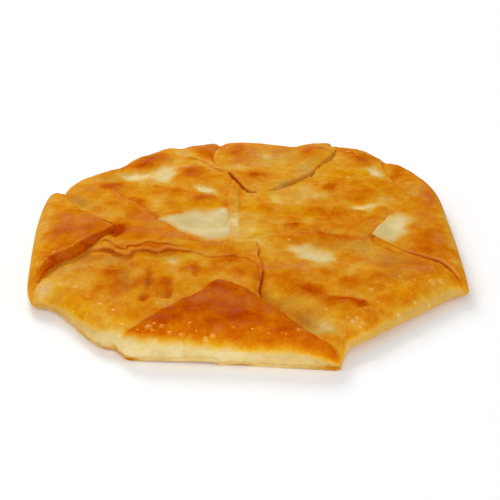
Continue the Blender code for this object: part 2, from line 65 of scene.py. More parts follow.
RIM = (
    (37, -98), (38.9, -96.4), (41, -91.2), (43.6, -87), (54.2, -79.4), (66, -68.8),
    (78, -59), (91, -47.6), (96.8, -44.4), (98, -38), (97.6, -12),
    (96.4, 16), (94.6, 41.2), (87.2, 59.8), (78.4, 71.8), (73.4, 74.8), (70.2, 79.8),
    (62.6, 89), (53.5, 92.4), (46.8, 91.6), (44.8, 96), (35, 95.2), (26, 92), (14, 95),
    (0, 97), (-9.5, 96), (-13.2, 93), (-17, 97.6), (-28.2, 94.4), (-34.8, 91), (-41, 92),
    (-49.4, 85.6), (-57.8, 78.8), (-65, 68.2), (-76.8, 60.6), (-85.6, 51), (-88.4, 44),
    (-88.4, 38.4), (-94, 37.6), (-97.2, 31), (-97.9, 8), (-96.5, -20), (-94.7, -42.3),
    (-91.3, -53), (-86.5, -54), (-79.4, -59), (-72.4, -67.6), (-67.6, -74), (-60, -82.2),
    (-54.2, -84.4), (-50.6, -88), (-45.6, -91.4), (-24, -93.4), (0, -95), (22, -96.8),
)
SOLID_RIM_SPACING = 4.2  # the outline's points in the solid, whose box is centred

# By the direction a side faces, in degrees from +X: height where the wall rolls over,
# reach of that roll, lift of the foot, inset of the foot, browning at the wall's top and
# at its foot. Then where the top's browning begins, counted along the surface from the
# wall's top edge, and over how far it builds up
SIDES = (
    (-118, 6.0, 3.6, 0.3, 1.0, 0.06, 0.14, 3.6, 6.5),
    (-115, 6.6, 3.2, 0.3, 1.0, 0.06, 0.14, 2.6, 6.0),
    (-112, 7.4, 2.5, 1.0, 0.8, 0.06, 0.12, 0.9, 6.0),
    (-107, 7.6, 2.2, 1.3, 0.8, 0.06, 0.10, 0.0, 7.0),
    (-102, 7.6, 2.2, 1.5, 0.9, 0.06, 0.10, -0.6, 8.0),
    (-98, 7.6, 2.2, 1.5, 0.9, 0.07, 0.10, -0.8, 8.5),
    (-95, 7.6, 2.2, 0.1, 0.5, 0.07, 0.08, -1.1, 8.5),
    (-91.5, 7.6, 2.2, 0.8, 0.8, 0.08, 0.10, -1.8, 8.0),
    (-88, 7.6, 2.2, 0.1, 0.8, 0.09, 0.08, -2.4, 7.5),
    (-80, 7.4, 2.4, 0.1, 0.8, 0.12, 0.12, -1.5, 7.5),
    (-75, 6.8, 2.8, 0.1, 0.9, 0.15, 0.16, -0.8, 5.5),
    (-71, 4.8, 4.2, 0.1, 0.9, 0.18, 0.18, -1.2, 5.0),
    (-68.8, 2.4, 6.0, 0.1, 0.8, 0.24, 0.2, -1.6, 5.0),
    (-68, 2.6, 6.5, 0.6, 0.8, 0.2, 0.2, -1.0, 5.5),
    (-65.8, 3.8, 6.6, 2.2, 1.4, 0.18, 0.18, 0.4, 5.5),
    (-62.8, 4.8, 6.4, 3.6, 1.4, 0.27, 0.26, 0.8, 6.0),
    (-58, 4.8, 6.4, 3.6, 1.6, 0.27, 0.26, 1.4, 6.5),
    (-52, 4.8, 6.4, 3.5, 1.6, 0.27, 0.26, 2.0, 7.0),
    (-44, 4.6, 6.6, 3.4, 1.5, 0.27, 0.26, 2.8, 7.5),
    (-36, 4.4, 6.8, 3.2, 1.4, 0.27, 0.26, 3.4, 8.0),
    (-30, 4.0, 7.2, 3.0, 1.2, 0.27, 0.26, 3.0, 8.0),
    (-26, 3.6, 8.0, 2.8, 1.2, 0.26, 0.22, 2.0, 7.0),
    (-24, 3.4, 8.0, 2.4, 1.2, 0.40, 0.38, 0.0, 5.0),
    (-20, 3.8, 6.2, 1.8, 2.0, 0.34, 0.32, 0.0, 5.0),
    (0, 5.0, 4.6, 1.2, 2.8, 0.34, 0.30, -1.0, 7.0),
    (45, 5.4, 6.0, 0.9, 3.2, 0.56, 0.44, -2.0, 6.0),
    (90, 6.2, 4.4, 0.6, 3.0, 0.56, 0.40, -2.0, 6.0),
    (135, 5.6, 5.2, 0.9, 3.2, 0.54, 0.42, -2.0, 6.0),
    (165, 5.4, 4.6, 1.2, 2.6, 0.36, 0.30, -1.0, 6.0),
    (180, 5.4, 4.6, 1.2, 2.6, 0.24, 0.24, 0.0, 8.0),
    (200, 4.4, 4.6, 1.8, 1.8, 0.26, 0.24, 0.0, 8.0),
    (208, 4.2, 4.8, 1.9, 1.5, 0.32, 0.28, -1.0, 6.0),
    (214, 4.0, 6.0, 1.3, 1.3, 0.34, 0.24, 0.0, 5.0),
    (225, 4.0, 7.0, 0.8, 1.1, 0.20, 0.16, 1.6, 6.5),
    (235, 4.8, 5.8, 0.6, 1.0, 0.10, 0.12, 3.0, 7.5),
    (240, 5.6, 4.4, 0.7, 1.0, 0.08, 0.18, 3.4, 7.5),
)
(ROLL_START, ROLL_REACH, FOOT_LIFT, FOOT_INSET,
 TOP_BAKE, FOOT_BAKE, BROWN_FROM, BROWN_OVER) = range(1, 9)
# Torn and browned places on the wall: x, y, height, reach along, reach in height, change
WALL_MARKS = (
    (-61, -75, 1.4, 3.0, 0.9, 0.7), (-56, -80, 0.9, 3.5, 0.9, 0.8),
    (-50, -86, 1.6, 2.5, 1.0, 0.5), (-46, -90, 1.2, 2.5, 1.1, 0.8),
    (-12, -93, 1.0, 1.6, 0.7, 0.5), (-1, -94, 1.0, 3.0, 0.6, 0.5),
    (37, -97, 1.0, 4.0, 1.6, 0.25), (30, -98, 1.0, 6.0, 1.2, 0.16),
    (-52, -84, 4.0, 1.2, 5.0, 0.25), (42, -92, 5.0, 2.0, 4.0, 0.2),
)
WALL_TOAST_AND_GAP_SHADE = 0.12  # how much browner its bulges are, and how much darker the gap over the bottom sheet is painted, as shade
WALL_SHEEN = -0.1  # the pale wall is a clear yellow,
RIM_VIVID = 0.25  # clearest where it turns gold
UNDERSIDE_BAKE = 0.45
BOTTOM_LAYER = 1.5  # height of the bottom sheet's edge above the foot
BOTTOM_LAYER_PROUD = 0.45
# Painted light on the rolled rim: its colour is brightened most towards this direction, in
# degrees from +X, this far in along the surface, and fully where the top's browning has built up
# to this share
RIM_LIGHT_MOST_AT = -92
RIM_LIGHT_REACH = 15.0
RIM_LIGHT_FROM = 0.3

# Outer flaps: plan outline with, at each point, how far the flap's edge stands proud and
# over what distance it rounds into the flap's top
FLAPS = {
    "front": (
        (-58, -97, 0.2, 1), (-50.5, -87, 0.5, 1), (-46, -83.5, 0.9, 1), (-40, -78.5, 1.4, 1.2),
        (-35.5, -74.5, 1.6, 1.6), (-31, -70.5, 1.7, 1.8), (-23, -64, 1.8, 1.8),
        (-17.5, -59.5, 1.8, 1.6), (-14.7, -54, 1.7, 1.4), (-12, -50.6, 1.6, 1.2),
        (-8, -50.5, 1.6, 1.3), (-3, -53.5, 1.7, 1.5),
        (2.5, -60, 1.9, 1.6), (7.5, -67, 2.1, 1.6), (14.5, -74.5, 2.3, 1.6),
        (20.5, -82, 2.3, 1.6), (26.5, -88.5, 2.0, 1.4), (31, -92.3, 1.6, 1.1),
        (35.5, -95, 1.2, 1), (39, -98.2, 0.5, 1), (44, -103, 0.2, 1), (20, -110, 0.2, 1),
        (-20, -110, 0.2, 1),
    ),
    "right": (
        (75, 82, 0.2, 1), (69.5, 70, -1.0, 1.2), (69.5, 60, -1.5, 1.3), (71, 53, -1.8, 1.4),
        (73.5, 44, -1.9, 1.4), (76.5, 37.5, -1.7, 1.3), (80, 30.5, -0.8, 1), (79.5, 27, 0.1, 1),
        (76, 21.5, 0.7, 1), (72, 16, 1.0, 1), (67.5, 9, 1.3, 1), (62.6, 0.5, 1.6, 1),
        (60.2, -4.8, 1.7, 1), (58.6, -8.6, 1.8, 1), (58.3, -10.2, 1.8, 1), (59.3, -12, 1.8, 1),
        (61.4, -14.4, 1.1, 1), (65, -17.2, 0.8, 1),
        (69.3, -21.2, 0.7, 1), (73.6, -24.2, 0.8, 1), (78.6, -27.6, 1.2, 1.2),
        (84, -30.4, 1.8, 1.4), (87.6, -33.4, 2.1, 1.4), (91, -38.5, 2.1, 1.4),
        (93.6, -43, 1.6, 1.2), (96.5, -46.5, 0.8, 1),
        (104, -50, 0.2, 1), (112, 20, 0.2, 1),
    ),
    "back": (
        (54, 106, 0.2, 1), (48.5, 90, 0.6, 1), (46, 80, 1.3, 1.2), (43.5, 73.3, 1.6, 1.3),
        (40, 67, 1.7, 1.4), (36, 59.5, 1.6, 1.8), (32, 54, 1.3, 2.4), (29.5, 50.8, 1.0, 2.4),
        (26.5, 46.8, 1.6, 2.8), (23, 43, 1.7, 2.8), (19, 40.8, 1.5, 2.4), (15.3, 38.2, 1.0, 1.8),
        (12, 35, 0.4, 1), (8, 32.8, 0.2, 1), (4.5, 32.4, 0.6, 1), (1.5, 34, 1.4, 1),
        (-0.5, 38, 1.8, 1), (-3.5, 45, 1.9, 1), (-6.8, 52.3, 1.6, 1), (-10.5, 57.5, 0.6, 1),
        (-13.6, 62, 0.5, 1), (-15.7, 69, 0.8, 1), (-15.5, 75.6, 1.0, 1), (-14, 83, 1.2, 1),
        (-13, 95, 0.9, 1), (-14, 108, 0.2, 1),
    ),
    "left": (
        (-100, 47, 0.2, 1), (-93, 42, 0.6, 1.2), (-87.5, 32.5, 1.0, 1.4), (-82, 23, 1.5, 1.5),
        (-77.5, 15.2, 1.6, 1.4), (-70.7, 9.6, 1.4, 1.3), (-67, 5.4, 1.3, 1.3),
        (-63, 2, 1.4, 1.2), (-60.2, -1.4, 1.7, 1.2), (-59.9, -5, 2.4, 1.6),
        (-61.8, -10.8, 3.4, 2.2), (-65.2, -14.8, 4.1, 2.8), (-68, -17.6, 4.4, 3.0),
        (-70.8, -22, 4.5, 3.2), (-75, -26.9, 4.4, 3.2), (-79.2, -29.9, 4.1, 3.2),
        (-83, -33.4, 3.6, 3.0), (-85.8, -36.8, 3.1, 2.8), (-88, -40.5, 2.6, 2.4),
        (-89, -45.5, 1.9, 1.8), (-89.8, -49.5, 1.1, 1.2), (-92, -53, 0.5, 1),
        (-102, -58, 0.2, 1), (-110, 0, 0.2, 1),
    ),
}
PROUD, ROUND = 2, 3  # the columns of a lip's rows
FLAP_CROWN = {"front": 2.3, "right": 1.4, "back": 1.0, "left": 2.8}  # rise of its middle,
FLAP_EDGE_REACH = 7.0  # reached this far in from its edge
FLAP_TAKES_OFF = 3.5  # a flap rises out of the rim over this distance
FLAT_FACED = {"left": 0.8}  # how far a flap's thick edge is a flat face, not a round one
EDGE_HIGHLIGHTS = {"front": 0.0, "right": 1.0, "back": 0.5, "left": 0.4}  # how strong the painted highlight on each one's edge is
CRACK_SHADE = {"front": 0.1, "right": 0.2, "back": 0.0, "left": 0.1}  # painted shade: how much darker it is under its edge

# Seams where one inner fold laps another: plan line with, at each point, how far the upper
# fold's lip stands proud and its rounding, the side the upper fold is on, how far behind
# the lip that fades, and the dip in front of it
SEAMS = {
    "wavy_lip": (
        ((7.5, -40, 0.3, 2.0), (2.5, -34.2, 0.5, 2.0), (-2, -31, 0.6, 1.8),
         (-7, -29.5, 0.6, 1.6), (-12, -30, 0.5, 1.6), (-16.5, -29.6, 0.5, 2.0),
         (-19.6, -27.8, 0.4, 2.4), (-23.2, -26, 0.6, 1.8), (-27.3, -24.5, 0.9, 1.2),
         (-31.3, -23.8, 1.1, 1.0), (-34.3, -23.6, 1.3, 0.9), (-36.5, -24.9, 1.4, 0.9),
         (-38.5, -26, 1.4, 0.9), (-41, -25.2, 1.4, 0.9), (-43, -24, 1.4, 0.9),
         (-46, -23.7, 1.4, 0.9), (-48.8, -24.3, 1.5, 0.9), (-50.2, -25.7, 1.6, 0.9),
         (-50.8, -28, 1.7, 0.9), (-53.6, -28, 1.7, 0.9), (-56.8, -25.6, 1.6, 0.9),
         (-59.8, -22.6, 1.5, 0.9), (-63, -21.1, 1.3, 0.9), (-66.7, -20.6, 1.0, 0.9),
         (-69.5, -21.4, 0.3, 0.9)),
        -1, 12.0, 0.6,
    ),
    "wavy_lip_above": (
        ((-25.5, -22.5, 0.2, 1.2), (-29.6, -22.2, 0.5, 1.0), (-32.3, -21.2, 0.7, 0.9),
         (-36.3, -21.3, 0.8, 0.9), (-39.5, -20.6, 0.8, 0.9), (-41.6, -19.3, 0.8, 0.9),
         (-44.9, -19.6, 0.8, 0.9), (-48.8, -21.3, 0.9, 0.9), (-51.9, -21.5, 1.0, 0.9),
         (-52.6, -24.2, 1.1, 0.9), (-54.1, -24.6, 1.1, 0.9), (-56.4, -22.6, 1.0, 0.9),
         (-59.3, -18.3, 0.9, 0.9), (-62.8, -15.6, 0.8, 0.9), (-66.5, -17.4, 0.3, 0.9)),
        -1, 8.0, 0.1,
    ),
    "band_shoulder": (
        ((-61, 31, 0.8, 1.6), (-57, 24.5, 1.7, 1.8), (-51.8, 18, 2.5, 1.8),
         (-46.6, 11.4, 2.9, 1.8), (-42.8, 4.4, 3.0, 1.6), (-41, 0.5, 2.8, 1.4),
         (-38.6, -1, 2.5, 1.4), (-34.4, -2.7, 2.4, 1.4), (-31.2, -7.2, 2.4, 1.3),
         (-27.8, -12.5, 2.2, 1.2), (-23.6, -15.8, 1.9, 1.1), (-17.8, -17, 1.5, 1.0),
         (-11, -17.3, 0.9, 0.9)),
        -1, 14.0, 0.8,
    ),
    "tongue_edge": (
        ((7.5, -40, 0.4, 0.8), (6.8, -35.5, 1.0, 0.8), (5.5, -30.2, 1.1, 0.8),
         (5.9, -24.7, 1.0, 0.8), (5.2, -20.2, 0.8, 0.8), (5.4, -16, 0.2, 0.8)),
        1, 9.0, 0.5,
    ),
    "tongue_side": (
        ((-10.6, -27.5, 0.3, 0.8), (-9.6, -21.7, 0.9, 0.8), (-8.8, -15, 0.4, 0.8)),
        -1, 5.0, 0.2,
    ),
    "front_seam": (
        ((13, -72, 0.3, 0.9), (7.6, -65, 1.0, 0.9), (6, -60.5, 1.3, 0.9), (5.8, -56, 1.4, 0.9),
         (6.3, -50.5, 1.4, 0.9), (7.2, -45, 1.2, 0.9), (7.8, -40, 0.6, 0.9)),
        1, 8.0, 1.0,
    ),
    "middle_strip": (
        ((-5.6, 47.5, 0.4, 1.0), (-6.4, 36, 1.3, 1.0), (-7.1, 26, 1.6, 1.0),
         (-7, 12.7, 1.7, 1.0), (-6.4, 1, 1.6, 1.0), (-6.2, -12, 0.6, 1.0)),
        1, 7.0, 0.5,
    ),
    "right_seam": (
        ((4.7, -12.2, 0.6, 1.0), (7.8, -9.4, 1.0, 1.0), (11.5, -8.3, 0.8, 1.0),
         (18, -7.6, 0.6, 1.2), (25.2, -6.6, 1.0, 1.2), (29.7, -7.4, 1.3, 1.2),
         (33.3, -7.8, 1.5, 1.2), (37.7, -10.3, 1.7, 1.2), (42.3, -9.6, 1.6, 1.2),
         (48, -10, 1.1, 1.2), (56, -11, 0.4, 1.0)),
        -1, 6.0, 1.0,
    ),
    "right_under_layer": (
        ((59.6, -7, 0.3, 0.8), (57.9, -12, 0.7, 0.8), (59.4, -17.2, 0.8, 0.8),
         (61.6, -18.9, 0.7, 0.8), (64, -20.4, 0.5, 0.8), (67.5, -24, 0.3, 0.8)),
        1, 5.0, 0.7,
    ),
    "thin_ridge": (
        ((-33.5, 81, 0.2, 1.0), (-28, 72.5, 0.7, 1.0), (-20.3, 67, 0.8, 1.0),
         (-15, 58.5, 0.8, 1.0), (-9, 54, 0.3, 1.0)),
        1, 4.0, 0.4,
    ),
}
SEAM_DIP_REACH = 3.0
LIP_CRACK_SHADE = 0.2  # painted shade: how much darker and browner the crack under a seam's lip is,
SEAM_CRACK_SHADE = {"middle_strip": -0.05, "thin_ridge": 0.05, "tongue_side": 0.1}  # but for these

# Creases pressed into the folds: plan line, depth, half width and change of browning, which where
# it darkens a crease is painted shade
CREASES = (
    (((-1, 37.5), (-2, 31), (-2, 24), (-1.7, 18), (-1.8, 9), (-1.6, 0), (-1.4, -9)),
     0.8, 0.9, 0.10),
    (((-40.9, -41), (-40.4, -48.8), (-39, -55.2), (-36, -59.6), (-32, -60.8)), 2.0, 1.5, 0.14),
    (((-49.6, -38), (-48.6, -46), (-48.8, -56)), 1.0, 2.2, 0.0),
    (((-42.7, -58), (-42.6, -62.5)), 1.4, 1.8, 0.20),
    (((-57, -30), (-56.5, -35), (-52.5, -42)), 0.7, 1.6, 0.0),
    (((-28.5, -36), (-27, -34.6), (-24, -32.8), (-22, -35.6), (-21, -40.5), (-20.8, -45)),
     1.0, 1.2, 0.08),
    (((-57.2, -1.6), (-55.8, -6), (-58.8, -12.4)), 0.8, 1.3, 0.2),
    (((33, 54), (33.6, 51), (38, 49)), 0.9, 0.9, 0.0),
    (((-22, 84), (-17.5, 77), (-15.8, 69), (-13.6, 62)), 0.9, 1.1, 0.10),
    (((-87, 34.5), (-82, 26), (-76, 18.5), (-70, 12.5)), 1.4, 2.0, -0.05),
    (((-7.4, 53), (-4.2, 46), (-1.2, 38.4), (1.4, 33.2)), 1.2, 1.0, 0.45),
    (((1.2, 32.6), (3, 31.9), (5, 31.7)), 0.8, 0.7, 0.3),
    (((13.5, 36), (19, 39.6), (25, 43.4), (30, 49.6), (34, 55.4)), 1.2, 0.9, 0.04),
    (((6.4, -48), (6.8, -58), (12, -66.5), (22, -74.6), (31, -81.5)), 2.0, 2.2, 0.12),
    (((-86, -40), (-79, -32.4), (-70.5, -24.4), (-65, -19.6)), 1.0, 3.2, -0.02),
    (((57.9, -7), (57.3, -10.6), (58.8, -15), (62.5, -19), (67, -23.4)), 0.9, 0.8, 0.16),
    (((9, -11.4), (12, -9.8), (17, -9.2)), 0.5, 0.8, -0.1),
    (((21, -7.6), (25.6, -8), (29, -9.4)), 0.9, 0.7, 0.3),
    (((34, -10), (37.6, -12.4), (42, -11.4)), 0.8, 0.8, 0.2),
    (((10.2, -20.5), (3.5, -14.5), (-4, -15.5)), 0.5, 1.4, -0.05),
    (((-61, -23.6), (-52.6, -31), (-47, -26.4), (-38, -28.2), (-31, -26)), 0.4, 0.9, 0.12),
    (((62, 12), (55, 16.4), (46, 14.6)), 0.6, 1.6, 0.0),
    (((15, 11), (27, 9.4), (41, 8.6), (52, 9.6)), 0.7, 1.7, 0.0),
    (((12, 4.4), (26, 3.6), (40, 3.2)), 0.6, 1.5, -0.04),
    (((20, 22.4), (33, 21), (47, 22.6), (58, 26.4)), 0.8, 2.0, -0.04),
)

# Places that puffed up, or stayed sunken under the folds: x, y, half length, half width,
# height, and a turn in degrees where there is one
PUFFS = (
    (-49, 68, 15, 6, 2.0, 38), (-20, 83, 9, 6, 1.4), (-26, 54, 8, 6, 1.4),
    (-19, 26, 12, 3.6, 1.3), (-66, 39, 9, 5, 1.2, 15), (-72, 53, 9, 5, 0.8, 40),
    (-42, 25, 6, 8, 0.6, 20), (-49, -6, 7, 12, 0.8, 15), (-66, 21, 6, 9, 0.7, 20),
    (42, 38, 8, 6, 1.2), (57, 72, 9, 9, 1.8, -30), (61, 33, 8, 12, 1.9, 15),
    (33, 17, 19, 3.4, 1.3, -4), (8, 14, 6, 8, 0.9), (28, -1, 15, 3.2, 1.1),
    (50, 7, 10, 3.6, 0.9, 5), (50, 52, 9, 7, 0.8), (34, -15, 20, 3.2, 1.4, -3),
    (18, -46, 10, 6, 1.2), (14, -58, 7, 7, 1.0), (43, -67, 10, 5, 1.7, -12),
    (29, -55, 6, 7, 0.9), (60, -42, 10, 8, 0.7), (75, -42, 13, 8, 0.9, 30),
    (64, -62, 14, 6, 0.6, 42), (48, -50, 5, 7, 0.7), (-57, -46, 7, 10, 1.4, 5),
    (-34, -53, 4.5, 8, 1.7, 8), (-6, -39, 9, 5.5, 1.3, -8), (-70, -53, 9, 6, 0.9),
    (-60, -68, 12, 7, 0.8, -40), (-46, -73, 7, 8, 0.6), (-26, -51, 4, 7, 0.7),
    (-54, 53, 7, 5, -1.5), (-40, 56, 6, 8, -1.9), (-18.5, 38, 7, 4, -1.6, -20),
    (-19, 2, 13, 10, -2.2, -15), (31, -26, 11, 5, -1.8, -25), (57, 21, 9, 4, -1.6, 20),
    (65, 59, 4, 6, -1.4, 15), (29, -79, 8, 5, -0.8, 15), (38, -86, 7, 6, -1.2),
    (-33, -31, 7, 3.6, -1.3), (24, 31, 9, 6, -0.8), (17, -21, 7, 4, -0.8),
    (56, -30, 7, 5, -0.9), (-8, -22, 7, 4, 0.6), (-66, -29, 9, 5, -1.1, 30),
    (-58.3, -7.5, 3.8, 3.6, -1.8), (26, -77, 5, 7, -2.6, -12),
)
FLAP_PUFFS = (
    (5.5, 50, 8, 6, 1.2), (-2, 78, 8, 8, 1.4), (36, 76, 7, 8, 1.8, -25), (13, 69, 9, 8, -1.2),
    (68, -4, 7, 9, -0.9, 10), (88, 34, 5, 7, 1.0), (77, 54, 4, 9, -0.5, 25),
    (85, -14, 6, 14, 0.9), (-79, -2, 9, 15, 1.4, -10), (-74, 0, 5, 3, -0.6, 30),
    (-89, -30, 5, 12, 0.4, 8), (-9, -72, 19, 11, 1.0), (14, -87, 12, 6, 0.5, -20),
    (-30, -82, 11, 6, 0.4, 10), (20, 50, 7, 5, -0.5, 30),
)
# Unevenness is given in rows: its length, amount and seed. A drift takes the next seed too
WRINKLES = ((13.0, 0.45, 1.0), (5.5, 0.18, 1.0), (2.3, 0.07, 1.0))
PILLOWS = ((9.5, 0.48, 2.0), (4.3, 0.20, 2.0), (2.2, 0.10, 2.0))  # they meet in sharp creases
PILLOW_MEAN = 0.27
WRINKLE_DRIFT = ((13.0, 3.0, 5.0),)
WRINKLED_FLAPS = {"front": 0.5, "right": 0.5, "back": 0.7, "left": 0.35}  # share of the folds'

# ------------------------------------------------------------------ how it browned

# Browning runs from 0, raw and pale, to 1, dark brown. The folds' level and each flap's
# first, then darker and lighter places: x, y, half length, half width, change, and a turn
# in degrees where there is one
FOLD_BAKE = 0.51
FLAP_BAKE = {"front": 0.77, "right": 0.54, "back": 0.42, "left": 0.58}
FACE_TOAST = 0.23  # how much darker a flap's flat face fried
RELIEF_TOAST, ROUGH_TOAST = 0.03, 0.14  # how much browner 1 mm of folds or wrinkles is,
RELIEF_THAT_BROWNS = 2.0  # up to this height of folds
UNEVEN_BAKE = ((9.0, 0.12, 21.0), (4.0, 0.08, 22.0))
STREAKED = 1.2  # how much shorter this unevenness is towards the back than across
PATCH_DRIFT = ((7.0, 2.4, 11.0), (2.6, 0.9, 13.0))  # makes the places' edges ragged
TOAST_POWER, PALE_POWER, THIN_POWER = 1.3, 1.2, 1.15  # above 1 they have flatter tops
UNEVEN_CLIMB = ((5.0, 1.1, 31.0), (2.0, 0.6, 32.0))  # of the line where the top browns
FOLD_TOAST = (
    (-53, 63, 9, 4, 0.3, 12), (-46, 72, 8, 5, 0.34, 40), (-19, 80, 6, 10, 0.24),
    (-67, 38, 5, 3.4, 0.34, -30), (-62, 41, 4, 3, 0.2, 40), (-26, 53, 6, 7, 0.32),
    (-19, 26, 9, 3, 0.12), (-38, 35, 10, 9, 0.06), (-52, 22, 14, 2.6, 0.24, -52),
    (-46, 0, 6, 15, 0.1, 12), (-40, -12, 13, 5, 0.1), (-58, -7, 5, 6, 0.48),
    (58, 68, 5, 7, 0.16, -20), (53, 79, 5, 5, 0.12), (41, 36.5, 3.6, 3.2, 0.3),
    (57, 28, 6, 6, 0.2), (68, 40, 4, 7, 0.08), (39, 13, 13, 2.8, 0.18), (45, 10, 6, 3, 0.14),
    (12, 14, 4, 5, 0.04), (22, 0, 3.4, 3.6, 0.3), (45, -1, 9, 3.6, 0.14), (8, 2, 5, 4, 0.04),
    (34, -8, 18, 2.4, 0.1, -6), (32, -12.5, 16, 3.6, 0.14), (47, -14, 6, 4, 0.14),
    (38, -18, 9, 2.4, 0.12, -10), (45, -48, 3.6, 7, 0.22), (28, -57, 6, 4.5, 0.38, -20),
    (12, -46.5, 9, 4, 0.22, -12), (20, -53, 6, 4, 0.12, -20), (41, -63.5, 9, 2.6, 0.38, -4),
    (49.5, -66.5, 2.6, 3, 0.34), (35, -66, 2.4, 3, 0.2), (67, -34, 8, 8, 0.18),
    (78, -35, 9, 5, 0.14, -20), (63, -46, 12, 5, 0.1, 10), (45, -30, 7, 4, 0.12),
    (44, -65, 6, 4, 0.12), (35, -42, 4, 3, 0.12), (-56, -41, 5, 7, 0.24),
    (-51, -53, 7, 5, 0.28, 20), (-62, -52, 3, 6, 0.12), (-33, -55, 3.2, 8, 0.32, 8),
    (-41, -50, 1.6, 9, 0.22), (-42.5, -60.5, 2.6, 2.6, 0.3), (-22, -39, 4, 5, 0.26),
    (-8, -33, 6, 4.5, 0.26), (-2, -43, 5, 4, 0.24), (-14, -38, 4, 4, 0.1),
    (-27, -40, 2, 6, 0.12), (-68, -28, 8, 4, 0.16, 20), (-45, -23, 14, 2.4, 0.16, -4),
    (24, -73, 4, 4, 0.1), (-46, -73, 6, 5, 0.06), (7, -42, 1.6, 20, 0.12), (46, 46, 3, 5, 0.06),
)
FOLD_PALE = (
    (-54, 51, 8, 6, 0.24), (-41, 54, 8, 10, 0.24), (-34, 60, 5, 5, 0.14),
    (-19, 35.5, 8, 4, 0.26, -45), (-79, 48, 8, 7, 0.14, 30), (-62, 53, 5, 4, 0.1),
    (-43, 45, 9, 4, 0.1), (-20, 66, 17, 4, 0.18, -52), (-34, 80, 9, 4, 0.16, -40),
    (-35, 71, 5, 5, 0.1), (-42, 24, 4, 5, 0.08), (-5, 57, 4, 6, 0.12), (21, 33, 16, 12, 0.12),
    (15, 23, 5, 5, 0.16), (24, 21, 5, 4, 0.14), (28, 37, 4, 7, 0.14), (35, 29, 5, 4, 0.16),
    (3, 30, 4, 14, 0.14), (42, 56, 16, 11, 0.1), (57, 18.5, 9, 4.4, 0.27, 18),
    (64, 24, 4, 4, 0.1), (65, 57, 4, 7, 0.28, 8), (60, 45, 5, 6, 0.06),
    (4, -10, 7, 15, 0.28, 10), (10, 4, 5, 7, 0.06), (-4, 6, 2.8, 20, 0.34), (26, 14, 8, 3, 0.1),
    (31, -27, 9, 6, 0.27, -35), (22, -20, 6, 3, 0.12), (51, -36, 9, 5, 0.1, 30),
    (30, -35, 4, 4, 0.1), (51, -20, 9, 4, 0.08), (48, -57, 4, 3, 0.1), (12, -60, 4, 6, 0.08),
    (32, -81, 9, 6, 0.22), (-32, -33, 4.4, 4, 0.26), (-22, -29.5, 6, 3, 0.16),
    (-12, -46.5, 4, 3, 0.14), (-28, -48, 4, 4, 0.1), (-72, -51, 6, 7, 0.1),
    (-80, -43, 8, 5, 0.12, 30), (-84, -51, 7, 5, 0.22), (-62, -70, 8, 4, 0.12, -40),
    (-52, -80, 9, 5, 0.18, -30), (-70, -36, 6, 3, 0.08, 20), (-63, 11, 5, 6, 0.1),
    (-72, 27, 6, 7, 0.12), (-26, -20, 9, 2, 0.1), (13, -27, 4, 5, 0.06),
)
FLAP_TOAST = (
    (-34, -77, 7, 5, 0.05, 15), (20, -82, 6, 5, 0.08, -40), (-10, -73, 12, 7, 0.06),
    (-9, -55, 6, 4, 0.12), (-6, -78, 6, 4, 0.16), (5, 48, 4.6, 4.6, 0.46), (-5, 79, 7, 8, 0.24),
    (-1, 67, 5, 5, 0.18), (33, 77, 7, 9, 0.2), (22, 86, 6, 5, 0.1), (88, 28, 2.6, 9, 0.22),
    (84, -19, 6, 12, 0.18, 8), (86, 15, 6, 6, -0.06), (75, 56, 3.4, 12, 0.26, -22),
    (87, 4, 5, 7, 0.1), (-83, -9, 7, 3, 0.08), (-70, -8, 7, 3, 0.08, 20),
    (-76, -8, 15, 9, 0.1, 10), (-80, -24, 9, 3, 0.08, 48), (80, -24, 5, 4, 0.12, -30),
)
FLAP_PALE = (
    (-28, -92, 24, 2.6, 0.14), (20, -95, 16, 3, 0.1, -10), (-5, -87, 30, 3, 0.04),
    (12, 72, 4, 6, 0.1), (12, 61, 4, 5, 0.1), (24, 58, 8, 14, 0.1, 20), (-4, 58, 4, 4, 0.1),
    (16, 48, 5, 4, 0.04), (67, -4, 13, 7, 0.3, 62), (74, 2, 5, 8, 0.1), (-89, 34, 4, 4, 0.16),
    (-86, 22, 8, 9, 0.08), (-76, 20, 11, 3, 0.16, -50), (-83, 6, 7, 6, 0.02),
    (-93, -6, 5, 30, 0.26), (-96, 8, 2.4, 24, 0.06), (-92, -44, 4, 9, 0.08),
    (94, 14, 3, 12, 0.12), (82, 40, 4, 6, 0.12), (79, -24, 10, 1.6, 0.04, -30),
    (95, -4, 3.2, 30, 0.26),
)
# Thin dough with the pale filling showing through: same rows, with how clear it is
THIN = (
    (-18, 6, 10, 8.6, 1.0), (-14, -5, 8, 8.5, 1.0), (-27, 3, 8, 6.5, 0.9, -20),
    (-10.8, 4, 3, 11, 0.9), (-35, 5.6, 4, 2.4, 0.7, 10), (-54, 51, 6, 5, 0.6),
    (-40.5, 54, 5, 8, 0.76), (-19, 35.5, 6.5, 3.4, 0.7, -45), (31, -27, 9, 5.0, 0.7, -35),
    (57, 18.5, 8, 4, 0.38, 18), (65, 57, 3.4, 6, 0.55, 8), (33, -81, 7, 4.6, 0.26, 8),
    (-32, -33, 3.4, 3, 0.24), (23, -20.5, 4, 2, 0.4),
)
THIN_FLAP = (
    (65.8, -4.6, 11, 6.4, 0.78, 62), (64, -9.5, 6.5, 5.0, 0.4), (71, 5, 4.4, 6, 0.35, -20),
    (12, 71, 4, 6, 0.08), (26, 88, 8, 4, 0.1),
)
